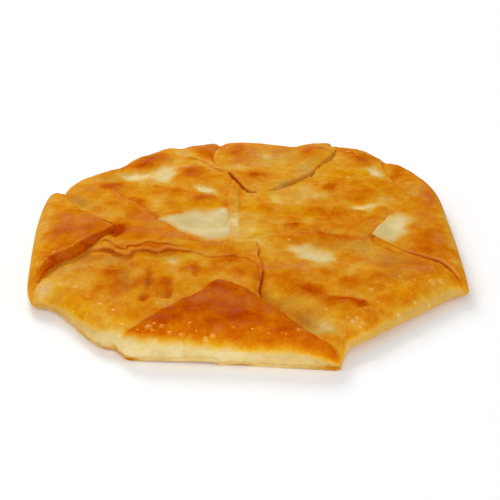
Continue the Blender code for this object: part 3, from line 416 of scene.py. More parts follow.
# Herbs in the filling tint the thin dough green here, and painted shade makes hollows, cracks and
# the dough under the lips darker and olive-grey
HERBS_AND_SHADE = (
    (-26, 6, 8, 5, 0.6), (-12, -9, 6, 4, 0.5), (64, -8, 4, 6, 0.6), (31, -83, 8, 4, 0.9),
    (30, -27, 8, 5, 0.5, -30), (-80, 27, 3, 6, 0.6, 20), (8, -10, 5, 1.6, 0.9, 20),
    (26, -77, 5, 9, 1.0, 10), (-32, -31, 4, 3, 0.5), (18, -66, 6, 5, 0.35), (12, 70, 5, 8, 0.5),
    (24, 31, 8, 4, 0.3), (-38, 57, 3, 3, 0.5), (-7, 4, 1.0, 16, 0.5), (-2.2, 8, 1.0, 16, 0.4),
    (-75, 21, 9, 2.4, 0.5, -50), (31, 60, 12, 2, 0.8, 58), (21, 42.5, 8, 1.6, 0.9, 25),
    (-70, -29, 10, 6, 0.4, 20), (-58, -33, 5, 5, 0.5), (51, -20, 9, 5, 0.7, -10),
    (56, -8, 3, 6, 0.6), (-4, 60, 6, 7, 0.5), (21, 74, 7, 9, 0.5), (-24, -44, 4, 6, 0.2),
    (-49, -50, 2.4, 8, 0.2), (-41, -47, 1.6, 7, 0.35), (66, -33, 9, 7, 0.7),
    (-72, -34, 9, 8, 0.2, 20), (-50, -44, 4, 9, 0.4), (65, -44, 7, 4, 0.3),
    (10, -58, 3, 8, 0.3), (82, 38, 4, 7, 0.4), (-48, 76, 5, 5, 0.4), (-62, 52, 5, 5, 0.5),
    (-20, 90, 7, 4, 0.4), (-12, -19, 8, 1.6, 0.6), (-24, -29, 9, 2, 0.6, 12),
    (36, -20, 9, 2, 0.4, -10), (40, 28, 8, 3, 0.3), (-35, 22, 5, 3, 0.3), (-68, 46, 5, 4, 0.5),
)

# Painted sheen, a dull pinkish reflection on the oily crust, lies here; VIVID marks where the oil
# soaked in and made the gold vivid: same rows
UNEVEN_SHEEN = ((7.0, 0.7, 23.0),)
MOSTLY_VIVID = 0.15  # where neither says so
SHEEN = (
    (-80, -3, 15, 12, 0.55), (-85, -9, 11, 5, 0.2), (-70, 2, 8, 6, 0.6), (-86, 6, 6, 5, 0.4),
    (-46, 0, 8, 15, 0.45, 12), (-34, -13, 9, 5, 0.6, -30), (-58, 25, 9, 3, 0.7, -50),
    (-66, 38, 6, 5, 0.5), (-14, -66, 20, 9, 0.55), (0, -74, 14, 5, 0.3), (4, 68, 9, 12, 0.7),
    (-26, 58, 6, 6, 0.6), (-48, 70, 9, 6, 0.6, 30), (20, -38, 14, 4, 0.7), (28, -45, 6, 3, 0.6),
    (74, -38, 7, 5, 0.6), (60, -29, 8, 4, 0.7), (26, -18.5, 8, 2, 0.5), (52, -22, 4, 3, 0.5),
    (48, -66, 7, 3, 0.4), (-72, -37, 10, 5, 0.7, 10), (-60, -30, 5, 5, 0.5),
    (-62, -63, 6, 5, 0.4), (-4, -50, 7, 3, 0.6), (88, 30, 5, 12, 0.6), (82, 6, 4, 9, 0.5),
    (88, -13, 5, 4, 0.6), (34, 80, 8, 6, 0.5), (30, 52, 4, 8, 0.4, 20), (62, 0, 4, 5, 0.3),
    (48, 2, 10, 3, 0.3), (-20, 28, 9, 3, 0.5), (-24, -40, 5, 3, 0.5), (-80, 40, 7, 7, 0.4),
    (-16, 86, 20, 9, 0.8), (58, 76, 9, 9, 0.3), (16, 84, 12, 8, 0.6), (38, 86, 9, 6, 0.6),
)
VIVID = (
    (48, 52, 11, 7, 1.0), (62, 36, 8, 7, 0.8), (30, 11, 18, 3.6, 0.8), (5, 15, 5, 7, 0.9),
    (5, -9, 6, 8, 0.8), (-18, 20, 16, 3.4, 0.9), (-34, 18, 6, 6, 0.5), (-48, 30, 5, 7, 0.6),
    (-24, -26, 9, 3.6, 0.9), (-22, 0, 6, 10, 0.3), (14, -60, 7, 10, 0.7),
    (64, -19, 9, 3, 0.8, -30), (-70, -64, 14, 7, 0.8, -40), (-48, -74, 5, 5, 0.6),
    (30, -18, 22, 3, 0.3), (64, -56, 10, 7, 0.6, 20), (34, -48, 5, 6, 0.5),
    (-25, -53, 4, 5, 0.5), (-27, 76, 5, 5, 0.4), (38, 68, 4, 6, 0.5), (50, 27, 7, 4, 0.7),
    (12, 28, 6, 5, 0.5), (0, -96, 44, 4, 0.6), (-79, 12, 3, 8, 0.4, 20), (78, 18, 8, 4, 0.4),
    (72, 12, 3, 12, 0.5, -28), (84, -44, 10, 5, 0.5, 20), (20, 46, 5, 3, 0.5),
    (-12, 46, 5, 4, 0.5),
)


# ------------------------------------------------------------------ plan geometry


def curve_through(stations, spacing, closed=False):
    """Rows about `spacing` apart on a Catmull-Rom curve through the stations' rows."""
    rows = np.asarray(stations, float)
    count = len(rows)
    if closed:
        padded = np.vstack([rows[-1], rows, rows[:2]])
    else:
        padded = np.vstack([2 * rows[0] - rows[1], rows, 2 * rows[-1] - rows[-2]])
    made = []
    for i in range(count if closed else count - 1):
        before, start, end, after = padded[i : i + 4]
        steps = max(1, round(float(np.linalg.norm((end - start)[:2])) / spacing))
        for t in np.arange(steps) / steps:
            made.append(
                0.5 * (2 * start + (end - before) * t
                       + (2 * before - 5 * start + 4 * end - after) * t ** 2
                       + (3 * start - before - 3 * end + after) * t ** 3)
            )
    if not closed:
        made.append(rows[-1])
    return np.array(made)


def nearest_on(line, plan, closed=False, reach=300.0):
    """For each plan point: distance to the line, side (+1 is left), row and direction.

    Points further than the reach from the line's box are left at the reach."""
    ends = np.roll(line, -1, axis=0) if closed else line[1:]
    starts = line if closed else line[:-1]
    best = np.full(len(plan), reach)
    side = np.ones(len(plan))
    rows = np.zeros((len(plan), line.shape[1]))
    runs = np.zeros((len(plan), 2))
    low, high = line[:, :2].min(axis=0) - reach, line[:, :2].max(axis=0) + reach
    near = np.flatnonzero(np.all((plan > low) & (plan < high), axis=1))
    close = plan[near]
    nearest = np.full(len(near), reach)
    segment = np.full(len(near), -1)
    part = np.zeros(len(near))
    for i, (start, end) in enumerate(zip(starts, ends)):
        run = (end - start)[:2]
        away = close - start[:2]
        t = np.clip(away @ run / max(run @ run, 1e-9), 0, 1)
        gap = away - t[:, None] * run
        distance = np.hypot(gap[:, 0], gap[:, 1])
        closer = distance < nearest - 1e-9
        nearest[closer] = distance[closer]
        segment[closer] = i
        part[closer] = t[closer]
    found = segment >= 0
    near, segment, part = near[found], segment[found], part[found, None]
    best[near] = nearest[found]
    rows[near] = starts[segment] + part * (ends[segment] - starts[segment])
    run = (ends - starts)[segment, :2]
    away = plan[near] - starts[segment, :2]
    side[near] = np.where(run[:, 0] * away[:, 1] - run[:, 1] * away[:, 0] >= 0, 1.0, -1.0)
    runs[near] = run / np.hypot(*run.T)[:, None]
    return best, side, rows, runs


def within(line, plan):
    """Which plan points are inside a closed line."""
    inside = np.zeros(len(plan), bool)
    x, y = plan[:, 0], plan[:, 1]
    for (ax, ay), (bx, by) in zip(line[:, :2], np.roll(line[:, :2], -1, axis=0)):
        if ay != by:
            inside ^= ((ay > y) != (by > y)) & (x < ax + (y - ay) * (bx - ax) / (by - ay))
    return inside


def beside(line, offset, closed=False):
    """A line moved sideways, to its left where offset is positive."""
    run = np.roll(line, -1, axis=0) - np.roll(line, 1, axis=0)
    if not closed:
        run[0], run[-1] = line[1] - line[0], line[-1] - line[-2]
    run = run[:, :2] / np.hypot(run[:, 0], run[:, 1])[:, None]
    return line[:, :2] + offset * np.stack([-run[:, 1], run[:, 0]], axis=1)


def runs_where(line, keep):
    """The runs of a line whose points are all kept."""
    breaks = np.flatnonzero(np.diff(keep.astype(int))) + 1
    parts = zip(np.split(line, breaks), np.split(keep, breaks))
    return [part for part, kept in parts if kept[0] and len(part) > 1]


def ramp(value):
    """0 below 0, 1 above 1, smooth between."""
    t = np.clip(value, 0, 1)
    return t * t * (3 - 2 * t)


def bumps(plan, table, power=1.0):
    """The sum of a table's round-topped bumps; a power above 1 gives them flatter tops."""
    height = np.zeros(len(plan))
    for x, y, half_length, half_width, rise, *turn in table:
        angle = math.radians(sum(turn))
        dx, dy = plan[:, 0] - x, plan[:, 1] - y
        along = (dx * math.cos(angle) + dy * math.sin(angle)) / half_length
        across = (dy * math.cos(angle) - dx * math.sin(angle)) / half_width
        height += rise * np.exp(-((along ** 2 + across ** 2) ** power))
    return height


def uneven(plan, length, seed):
    """Smooth unevenness between about -1 and 1."""
    return np.array([noise.noise(Vector((x / length, y / length, seed))) for x, y in plan])


def wavy(plan, rows):
    """The sum of rows of unevenness: length, amount and seed."""
    return sum(amount * uneven(plan, length, seed) for length, amount, seed in rows)


def drift(plan, rows):
    """Plan points moved about, by rows of length, reach and first seed."""
    moved = plan
    for length, reach, seed in rows:
        both = [uneven(plan, length, seed), uneven(plan, length, seed + 1)]
        moved = moved + reach * np.stack(both, axis=1)
    return moved


# ------------------------------------------------------------------ lips

# A lip in section, across its line: where it is looked up (in half widths, positive on the
# upper side), how far it leans out over the low side, and its height
LIP_HALF_WIDTH = 0.9
LIP_REACH = 2 * LIP_HALF_WIDTH
LIP_SECTION = np.array((
    (-1.7, 0.0, 0.0), (-1.0, 0.0, -0.03), (-0.6, -0.35, -0.06), (-0.25, 0.0, 0.12),
    (0.0, 0.7, 0.42), (0.25, 1.0, 0.72), (0.6, 0.85, 0.93), (1.0, 0.5, 1.0), (1.7, 0.0, 1.0),
))
LEAN = 0.4  # of a lip 1 mm proud, in millimetres
MOST_LEAN = 0.85  # however proud it is
EDGE_START = 0.5  # share of a lip's height that stands up at once,
FLAT_START = 0.3  # and what is left of that share where its face is flat
LEAST_ROUNDING = 0.1
LIP_TOP, LIP_LINE_HALF_WIDTH = 0.5, 0.45  # where a lip's edge has its painted highlight
CRACK_AT, CRACK_HALF_WIDTH = -0.3, 0.6  # and where the crack under it has its painted shade
LIP_WAVER = ((5.0, 0.45, 41.0),)  # how a lip's height varies along it


def lip_lean(behind, proud):
    """How far out a lip leans."""
    section = np.interp(behind / LIP_HALF_WIDTH, LIP_SECTION[:, 0], LIP_SECTION[:, 1])
    return section * np.clip(proud * LEAN, 0, MOST_LEAN)


def lip_step(behind, rounding, flat=0.0):
    """Height across a lip, 0 on the low side and 1 well behind it."""
    step = np.interp(behind / LIP_HALF_WIDTH, LIP_SECTION[:, 0], LIP_SECTION[:, 2])
    back = np.clip(1 - np.maximum(behind, 0) / rounding.clip(LEAST_ROUNDING), 0, 1)
    shape = (1 - flat) * np.sqrt(1 - back ** 2) + flat * (1 - back)
    start = EDGE_START * (1 - (1 - FLAT_START) * flat)
    return step * (start + (1 - start) * shape)


def lip_crack(behind):
    """1 in the crack under a lip, 0 away from it."""
    return np.exp(-(((behind - CRACK_AT) / CRACK_HALF_WIDTH) ** 2))


def lip_line(behind):
    """1 along the top of a lip's edge, 0 away from it."""
    return np.exp(-(((behind - LIP_TOP) / LIP_LINE_HALF_WIDTH) ** 2))


def outwards(runs, upper_side):
    """The direction from a line's upper side to its lower side."""
    return np.stack([runs[:, 1], -runs[:, 0]], axis=1) * np.reshape(upper_side, (-1, 1))


def proud_of(rows):
    """How proud a lip stands at its rows, with its fuller and flatter places."""
    return rows[:, PROUD] * (1 + wavy(rows[:, :2], LIP_WAVER))


# ------------------------------------------------------------------ the surface over the plan

FAR = 4  # a seam or a crease does nothing beyond this many of its own widths
CLEAR_OF_FLAP = 2.0  # the folds' lips lean less within this distance of a flap
FACE_FROM, FACE_OVER = 0.8, 2.2  # a flat face starts on an edge this proud, and builds up
FACE_PAST_CREASE, FACE_BLUR = 0.1, 0.7  # how far past the edge's crease it ends, how softly
FACING_STEP = 0.4  # the crust's slope is measured over this distance


class Surface:
    """The shape and the browning of the crust over any plan point."""

    def __init__(self):
        self.rim = curve_through(RIM, RIM_POINT_SPACING, closed=True)
        self.rim *= (1 - RIM_MARGIN / np.hypot(*self.rim.T))[:, None]
        angle = np.arctan2(self.rim[:, 1], self.rim[:, 0])
        order = np.argsort(angle)
        self.rim_angle = angle[order]
        self.rim_radius = np.hypot(*self.rim.T)[order]
        self.flaps = {n: curve_through(line, LIP_SPACING, True) for n, line in FLAPS.items()}
        self.seams = {n: curve_through(row[0], LIP_SPACING) for n, row in SEAMS.items()}
        self.creases = [curve_through(row[0], LIP_SPACING) for row in CREASES]

    def inward(self, plan):
        """How far in from the rim a point lies, towards the middle."""
        angle = np.arctan2(plan[:, 1], plan[:, 0])
        radius = np.interp(angle, self.rim_angle, self.rim_radius, period=2 * math.pi)
        return radius - np.hypot(*plan.T)

    def side(self, plan, column):
        """A column of SIDES, at the direction of each point."""
        angle = np.degrees(np.arctan2(plan[:, 1], plan[:, 0]))
        table = np.array(SIDES)
        return np.interp(angle, table[:, 0], table[:, column], period=360)

    def folds(self, plan):
        """The inner folds: relief, lean, nearness of a lip's edge, and lines of changed browning,
        with painted shade in the cracks under the lips.
        """
        made = {"relief": bumps(plan, PUFFS), "lean": np.zeros_like(plan),
                "edge": np.zeros(len(plan)), "lines": np.zeros(len(plan))}
        for name, (_, upper_side, fade, dip) in SEAMS.items():
            distance, side, rows, runs = nearest_on(self.seams[name], plan, reach=FAR * fade)
            proud = proud_of(rows)
            shows = ramp(proud)
            behind = distance * side * upper_side
            above = proud * lip_step(behind, rows[:, ROUND])
            above *= np.exp(-np.maximum(behind, 0) / fade)
            below = dip * (behind < 0) * np.exp(-np.maximum(-behind, 0) / SEAM_DIP_REACH)
            below *= ramp(distance / LIP_HALF_WIDTH)
            lean = lip_lean(behind, proud) * (distance < LIP_REACH)
            made["relief"] += above - below * shows
            made["lean"] += outwards(runs, upper_side) * lean[:, None]
            # Painted highlight along the top of each lip's edge.
            made["edge"] = np.maximum(made["edge"], lip_line(behind) * shows)
            # Painted shade: the crack under each lip is made darker and browner.
            made["lines"] += SEAM_CRACK_SHADE.get(name, LIP_CRACK_SHADE) * lip_crack(behind) * shows
        for line, (_, depth, half_width, change) in zip(self.creases, CREASES):
            distance, _, _, _ = nearest_on(line, plan, reach=FAR * half_width)
            near = np.exp(-((distance / half_width) ** 2))
            made["relief"] -= depth * near
            made["lines"] += change * near
        return made

    def lay_flap(self, name, plan, puffed, takes_off, made):
        """Lays one outer flap over what is made so far."""
        distance, side, rows, runs = nearest_on(self.flaps[name], plan, closed=True)
        inside = within(self.flaps[name], plan)
        behind = np.where(inside, distance, -distance)
        near = distance < LIP_REACH
        proud = proud_of(rows)
        shows = np.clip(proud, 0, 1)
        crown = FLAP_CROWN[name]
        rise = crown + (proud - crown) * np.exp(-distance / FLAP_EDGE_REACH)
        step = rise * lip_step(behind, rows[:, ROUND], FLAT_FACED.get(name, 0.0))
        flap = (puffed + step) * takes_off
        beside_it = made["relief"] + step * takes_off * near
        made["relief"] = np.where(inside, flap, beside_it)
        lean = lip_lean(behind, proud) * near * takes_off
        clear = ramp(np.where(inside, 0, distance / CLEAR_OF_FLAP))
        made["lean"] = made["lean"] * clear[:, None]
        made["lean"] += outwards(runs, side * np.sign(behind)) * lean[:, None]
        made["lines"] = np.where(inside, 0, made["lines"])
        # Painted shade: the crack under the flap's edge is made darker and browner.
        crack = CRACK_SHADE[name] * lip_crack(behind) * shows
        made["cracks"] = np.maximum(made["cracks"], crack)
        crease = rows[:, ROUND] if name in FLAT_FACED else 0.0
        # Painted highlight along the top of the flap's edge.
        painted_highlight = EDGE_HIGHLIGHTS[name] * lip_line(behind - crease) * shows
        made["edge"] = np.maximum(np.where(inside, 0, made["edge"]), painted_highlight)
        if name in FLAT_FACED:
            thick = ramp((rows[:, PROUD] - FACE_FROM) / FACE_OVER) * inside
            made["face"] = thick * ramp((crease + FACE_PAST_CREASE - behind) / FACE_BLUR)
        made["flap_of"][inside] = name

    @staticmethod
    def roughness(plan, flap_of):
        """Waves and pillows of the puffed dough, gentler on the flaps."""
        bent = drift(plan, WRINKLE_DRIFT)
        pillows = sum(
            high * (2 * np.abs(uneven(bent, length, seed)) - PILLOW_MEAN)
            for length, high, seed in PILLOWS
        )
        gentle = np.ones(len(plan))
        for name, share in WRINKLED_FLAPS.items():
            gentle[flap_of == name] = share
        return (wavy(bent, WRINKLES) + pillows) * gentle

    def shape(self, plan):
        """The crust's points over the plan, with what the browning needs to know."""
        inward = np.maximum(self.inward(plan), 0)
        crown = RIM_HEIGHT + (CROWN_HEIGHT - RIM_HEIGHT) * (1 - np.exp(-inward / CROWN_REACH))
        fade = RELIEF_AT_RIM + (1 - RELIEF_AT_RIM) * ramp(inward / RIM_BAND)
        made = self.folds(plan)
        made["relief"] *= fade
        made["flap_of"] = np.full(len(plan), "", dtype="U5")
        made["face"] = np.zeros(len(plan))
        made["cracks"] = np.zeros(len(plan))
        puffed = bumps(plan, FLAP_PUFFS)
        takes_off = ramp(inward / FLAP_TAKES_OFF)
        for name in FLAPS:
            self.lay_flap(name, plan, puffed, takes_off, made)
        made["rough"] = self.roughness(plan, made["flap_of"])
        start = self.side(plan, ROLL_START)
        roll = np.sqrt(1 - np.clip(1 - inward / self.side(plan, ROLL_REACH), 0, 1) ** 2)
        made["climb"] = inward + (crown - start) * roll
        height = start + (crown + made["relief"] + made["rough"] * fade - start) * roll
        return np.column_stack([plan + made["lean"], np.minimum(height, HIGHEST)]), made

    def bake(self, plan, patch, made):
        """How brown the dough of the folds and flaps is, away from the rim."""
        flaps = bumps(patch, FLAP_TOAST) - bumps(patch, FLAP_PALE) + FACE_TOAST * made["face"]
        for name, level in FLAP_BAKE.items():
            flaps += level * (made["flap_of"] == name)
        folds = FOLD_BAKE + bumps(patch, FOLD_TOAST, TOAST_POWER)
        folds -= bumps(patch, FOLD_PALE, PALE_POWER)
        # The lines and cracks add painted shade, darker under the lips and in the creases.
        bake = np.where(made["flap_of"] != "", flaps, folds) + made["lines"] + made["cracks"]
        relief = np.clip(made["relief"], -RELIEF_THAT_BROWNS, RELIEF_THAT_BROWNS)
        bake += RELIEF_TOAST * relief + ROUGH_TOAST * made["rough"]
        return bake + wavy(plan * (1.0, STREAKED), UNEVEN_BAKE)

    def browning(self, plan, made):
        """Each of the crust's marks over the top of the pie."""
        patch = drift(plan, PATCH_DRIFT)
        on_flap = made["flap_of"] != ""
        thin = np.where(on_flap, bumps(patch, THIN_FLAP, THIN_POWER),
                        bumps(patch, THIN, THIN_POWER))
        # The green mark is partly the herbs and partly painted shade in hollows and under the
        # lips.
        green = bumps(patch, HERBS_AND_SHADE) * (1 - made["face"])
        sheen = bumps(patch, SHEEN) - bumps(patch, VIVID) - MOSTLY_VIVID
        sheen += wavy(plan * (1.0, STREAKED), UNEVEN_SHEEN)
        climb = made["climb"] + wavy(plan, UNEVEN_CLIMB)
        top = ramp((climb - self.side(plan, BROWN_FROM)) / self.side(plan, BROWN_OVER))
        wall = self.side(plan, TOP_BAKE)
        bake = wall + (self.bake(plan, patch, made) - wall) * top
        sheen = WALL_SHEEN + (np.clip(sheen, -1, 1) - WALL_SHEEN) * top
        sheen -= RIM_VIVID * 4 * top * (1 - top)
        # Painted light: the rolled rim is made brighter, most on its side towards the front.
        towards = np.cos(np.arctan2(plan[:, 1], plan[:, 0]) - math.radians(RIM_LIGHT_MOST_AT))
        painted_rim_light = (0.5 + 0.5 * towards) ** 2 * np.exp(-((made["climb"] / RIM_LIGHT_REACH) ** 2))
        return {"bake": np.clip(bake, 0, 1), "thin": np.clip(thin, 0, 1) * top,
                "green": np.clip(green, 0, 1), "sheen": np.clip(sheen, -1, 1),
                "painted_rim_light": painted_rim_light * ramp(top / RIM_LIGHT_FROM), "edge": made["edge"]}

    def facing(self, plan):
        """The crust's points over the plan, what they are made of, and which way they face."""
        here, made = self.shape(plan)
        along, _ = self.shape(plan + (FACING_STEP, 0))
        across, _ = self.shape(plan + (0, FACING_STEP))
        normal = np.cross(along - here, across - here)
        return here, made, normal / np.linalg.norm(normal, axis=1)[:, None]


# ------------------------------------------------------------------ the crust's mesh

RIM_POINT_SPACING = 1.0
LIP_SPACING = 0.8
TOP_SPACING = 0.85
GRID_REACH = 100.0
GRID_JITTER = 0.12  # share of the spacing
GRID_SEED = 7
CLEAR_OF_EDGE = 0.45  # free points keep this far from a lip's lines,
CLEAR_BOX = 1.0  # which are looked up within this of their own box,
CLEAR_OF_RING = 0.3  # and the lines end this far from the first rim ring,
FREE_OF_RING = 0.7  # where free points keep this share of the spacing from it
MERGE_WITHIN = 0.08
RIM_RINGS = (4.2, 3.2, 2.3, 1.6, 1.0, 0.55, 0.25, 0.08, 0.0)  # insets of the rings at the rim
WALL_RINGS = 18
# How the wall tucks in: share of its height, share of the foot's inset
WALL_PROFILE = ((0.0, 1.0), (0.28, 0.36), (0.62, 0.06), (1.0, 0.0))
WALL_BULGES = ((9.0, 0.5), (3.4, 0.3))  # length, depth
WALL_SINK = 0.45  # how far the wall's middle lies in from the outline
BELLY_START, BELLY_RATE = 0.04, 1.05  # it does so most at mid height, and least at its ends
LAYER_BLUR = 0.4  # softness of the bottom sheet's upper edge
LAYER_GAP = 0.3  # half height of the gap above that edge
FOOT_FADE = 6.0  # how fast the bottom sheet comes out above the foot
FOOT_UNEVEN = ((6.0, 0.3, 3.0), (2.2, 0.3, 4.0))  # length, amount, seed
LAYER_UNEVEN = ((7.0, 0.7, 8.0), (2.5, 0.5, 9.0))
UNDERSIDE_RINGS = (1.2, 3.0, 6.0, 10.0, 14.0, 30.0, 55.0, 80.0)  # insets
FLAT_INSET = 14.0  # the underside is flat inside this,
UNDERSIDE_CURVE = 1.5  # and rises outside it by this power
LEAST_LIFT, LEAST_INSET = 0.05, 0.02


def inset_rim(surface, inset):
    """The rim's plan points, moved towards the middle."""
    return surface.rim * (1 - inset / np.hypot(*surface.rim.T))[:, None]


def lip_lines(surface):
    """The lines across each lip's section that the mesh follows."""
    runs = []
    offsets = LIP_SECTION[:, 0] * LIP_HALF_WIDTH
    for line in surface.flaps.values():
        for offset in offsets:
            loop = beside(line, offset, closed=True)
            loop = np.vstack([loop, loop[:1]])
            runs += runs_where(loop, surface.inward(loop) > RIM_RINGS[0] + CLEAR_OF_RING)
    for line in surface.seams.values():
        for offset in offsets:
            moved = beside(line, offset)
            shows = np.ones(len(moved), bool)
            for flap in surface.flaps.values():
                distance, _, _, _ = nearest_on(flap, moved, closed=True)
                shows &= ~within(flap, moved) & (distance > LIP_REACH)
            runs += runs_where(moved, shows)
    return runs


def free_points(surface, lines):
    """A staggered, slightly uneven grid of points, clear of the lines and of the rim."""
    grid = np.array([
        (x + (i % 2) * TOP_SPACING / 2, y)
        for i, y in enumerate(np.arange(-GRID_REACH, GRID_REACH, TOP_SPACING * math.sqrt(3) / 2))
        for x in np.arange(-GRID_REACH, GRID_REACH, TOP_SPACING)
    ])
    random = np.random.default_rng(GRID_SEED)
    grid += random.uniform(-GRID_JITTER, GRID_JITTER, grid.shape) * TOP_SPACING
    grid = grid[surface.inward(grid) > RIM_RINGS[0] + FREE_OF_RING * TOP_SPACING]
    for line in lines:
        low, high = line.min(axis=0) - CLEAR_BOX, line.max(axis=0) + CLEAR_BOX
        near = np.all((grid > low) & (grid < high), axis=1)
        distance, _, _, _ = nearest_on(line, grid[near])
        keep = np.ones(len(grid), bool)
        keep[np.flatnonzero(near)[distance < CLEAR_OF_EDGE]] = False
        grid = grid[keep]
    return grid


def top_plan(surface):
    """Plan points and triangles of the top inside its first rim ring, whose points lead."""
    ring = inset_rim(surface, RIM_RINGS[0])
    lines = lip_lines(surface)
    chains = [np.vstack([ring, ring[:1]])] + lines
    edges = []
    first = 0
    for chain in chains:
        edges += [(i, i + 1) for i in range(first, first + len(chain) - 1)]
        first += len(chain)
    points = np.vstack(chains + [free_points(surface, lines)])
    made = delaunay_2d_cdt([Vector(p) for p in points], edges, [], 0, MERGE_WITHIN, False)
    plan, triangles = np.array(made[0]), np.array(made[2])
    inside = within(ring, plan[triangles].mean(axis=1))
    return plan, triangles[inside]


def wall_bulge(around):
    """How far the wall bulges in and out, at places round it."""
    return sum(
        depth * np.array([noise.noise(Vector(spot / length)) for spot in around])
        for length, depth in WALL_BULGES
    )


def wall_rings(surface):
    """Points and bake of each ring from the roll's foot to the pie's foot."""
    rim = surface.rim
    start, inset = surface.side(rim, ROLL_START), surface.side(rim, FOOT_INSET)
    top_bake, foot_bake = surface.side(rim, TOP_BAKE), surface.side(rim, FOOT_BAKE)
    foot = np.maximum(surface.side(rim, FOOT_LIFT) + wavy(rim, FOOT_UNEVEN), LEAST_LIFT)
    layer = BOTTOM_LAYER * (1 + wavy(rim, LAYER_UNEVEN))
    for share in 1 - np.arange(1, WALL_RINGS + 1) / WALL_RINGS:
        height = foot + share * (start - foot)
        bulge = wall_bulge(np.column_stack([rim, height]))
        belly = math.sin(math.pi * min(1, share * BELLY_RATE + BELLY_START)) ** 0.5
        in_layer = ramp((layer - (height - foot)) / LAYER_BLUR)
        moved = np.interp(share, *zip(*WALL_PROFILE)) * inset + (WALL_SINK + bulge) * belly
        moved -= BOTTOM_LAYER_PROUD * in_layer * min(1, FOOT_FADE * share)
        spots = np.column_stack([inset_rim(surface, np.maximum(moved, LEAST_INSET)), height])
        gap = np.exp(-(((height - foot - layer) / LAYER_GAP - 1) ** 2))
        # Browner bulges, and painted shade in the gap over the bottom sheet
        bake = top_bake + (foot_bake - top_bake) * in_layer + WALL_TOAST_AND_GAP_SHADE * (bulge + gap)
        for x, y, z, along, tall, change in WALL_MARKS:
            away = np.hypot(spots[:, 0] - x, spots[:, 1] - y) / along
            bake = bake + change * np.exp(-away ** 2 - ((height - z) / tall) ** 2)
        yield spots, np.clip(bake, 0, 1)


def underside_rings(surface, foot):
    """Points of each ring under the pie, from its foot to its flat middle."""
    radius = np.hypot(*foot[:, :2].T)
    for inset in UNDERSIDE_RINGS:
        scale = 1 - inset / radius
        lift = foot[:, 2] * (1 - min(1, inset / FLAT_INSET)) ** UNDERSIDE_CURVE
        yield np.column_stack([foot[:, :2] * scale[:, None], lift])


def mark_points(data, marks):
    """Writes each mark's numbers on the points of a mesh."""
    for mark, values in marks.items():
        layer = data.attributes.new(mark, "FLOAT", "POINT")
        layer.data.foreach_set("value", np.asarray(values, np.float32))


class MeshBuilder:
    """Gathers the crust's points, faces and marks."""

    def __init__(self):
        self.spots, self.faces = [], []
        self.marks = {"bake": [], "thin": [], "green": [], "sheen": [], "edge": [], "painted_rim_light": []}

    def add(self, spots, **marks):
        """Adds points and returns their numbers."""
        first = sum(len(s) for s in self.spots)
        self.spots.append(np.asarray(spots))
        for name, store in self.marks.items():
            store.append(np.broadcast_to(marks.get(name, 0.0), len(spots)))
        return list(range(first, first + len(spots)))

    def band(self, upper, lower):
        """Faces between two rings of the same length, the upper one counted first."""
        for i in range(len(upper)):
            j = (i + 1) % len(upper)
            self.faces.append((upper[j], upper[i], lower[i], lower[j]))

    def mesh(self, name, shift):
        """A mesh in metres, with its faces outwards and its marks as attributes."""
        spots = np.vstack(self.spots) + shift
        data = bpy.data.meshes.new(name)
        data.from_pydata([tuple(p) for p in spots * MM], [], self.faces)
        mark_points(data, {mark: np.concatenate(parts) for mark, parts in self.marks.items()})
        tidy = bmesh.new()
        tidy.from_mesh(data)
        loose = [v for v in tidy.verts if not v.link_faces]
        bmesh.ops.delete(tidy, geom=loose, context="VERTS")
        bmesh.ops.recalc_face_normals(tidy, faces=tidy.faces)
        tidy.to_mesh(data)
        tidy.free()
        data.shade_smooth()
        return data


def plan_shift():
    """From the plan to the frame, whose origin is the middle of the solid's box."""
    rim = curve_through(RIM, SOLID_RIM_SPACING, closed=True)
    middle = (rim.min(axis=0) + rim.max(axis=0)) / 2
    return np.array((-middle[0], -middle[1], 0))


def new_object(name, data):
    """A new object in the scene."""
    made = bpy.data.objects.new(name, data)
    bpy.context.scene.collection.objects.link(made)
    return made


def make_crust(surface):
    """The whole crust as one closed mesh."""
    build = MeshBuilder()
    plan, triangles = top_plan(surface)
    spots, made = surface.shape(plan)
    top = build.add(spots, **surface.browning(plan, made))
    build.faces += [tuple(top[i] for i in triangle) for triangle in triangles]
    upper = top[: len(surface.rim)]
    for inset in RIM_RINGS[1:]:
        ring = inset_rim(surface, inset)
        spots, made = surface.shape(ring)
        lower = build.add(spots, **{**surface.browning(ring, made), "edge": 0.0})
        build.band(upper, lower)
        upper = lower
    for spots, bake in wall_rings(surface):
        lower = build.add(spots, bake=bake, sheen=WALL_SHEEN)
        build.band(upper, lower)
        upper = lower
    for spots in underside_rings(surface, spots):
        lower = build.add(spots, bake=UNDERSIDE_BAKE)
        build.band(upper, lower)
        upper = lower
    build.faces.append(tuple(reversed(upper)))
    return new_object("crust", build.mesh("crust", plan_shift()))


# ------------------------------------------------------------------ building node trees

COLOUR_A, COLOUR_B, COLOUR_OUT = 6, 7, 2  # a Mix node's sockets for colours


class Tree:
    """Short calls for building a node tree."""

    def __init__(self, tree):
        self.tree = tree

    def put(self, socket, value):
        """Links a socket, or sets a plain value."""
        if isinstance(value, bpy.types.NodeSocket):
            self.tree.links.new(value, socket)
        else:
            socket.default_value = value

    def node(self, kind, inputs=None, **settings):
        """A node with its settings made and its inputs linked or set."""
        made = self.tree.nodes.new(kind)
        for key, value in settings.items():
            setattr(made, key, value)
        for socket, value in (inputs or {}).items():
            self.put(made.inputs[socket], value)
        return made

    def remap(self, value, low, high, to_low=0.0, to_high=1.0, **settings):
        """A value between low and high, brought between two others."""
        made = self.node("ShaderNodeMapRange", {
            "Value": value, "From Min": low, "From Max": high,
            "To Min": to_low, "To Max": to_high,
        }, **settings)
        return made.outputs[0]


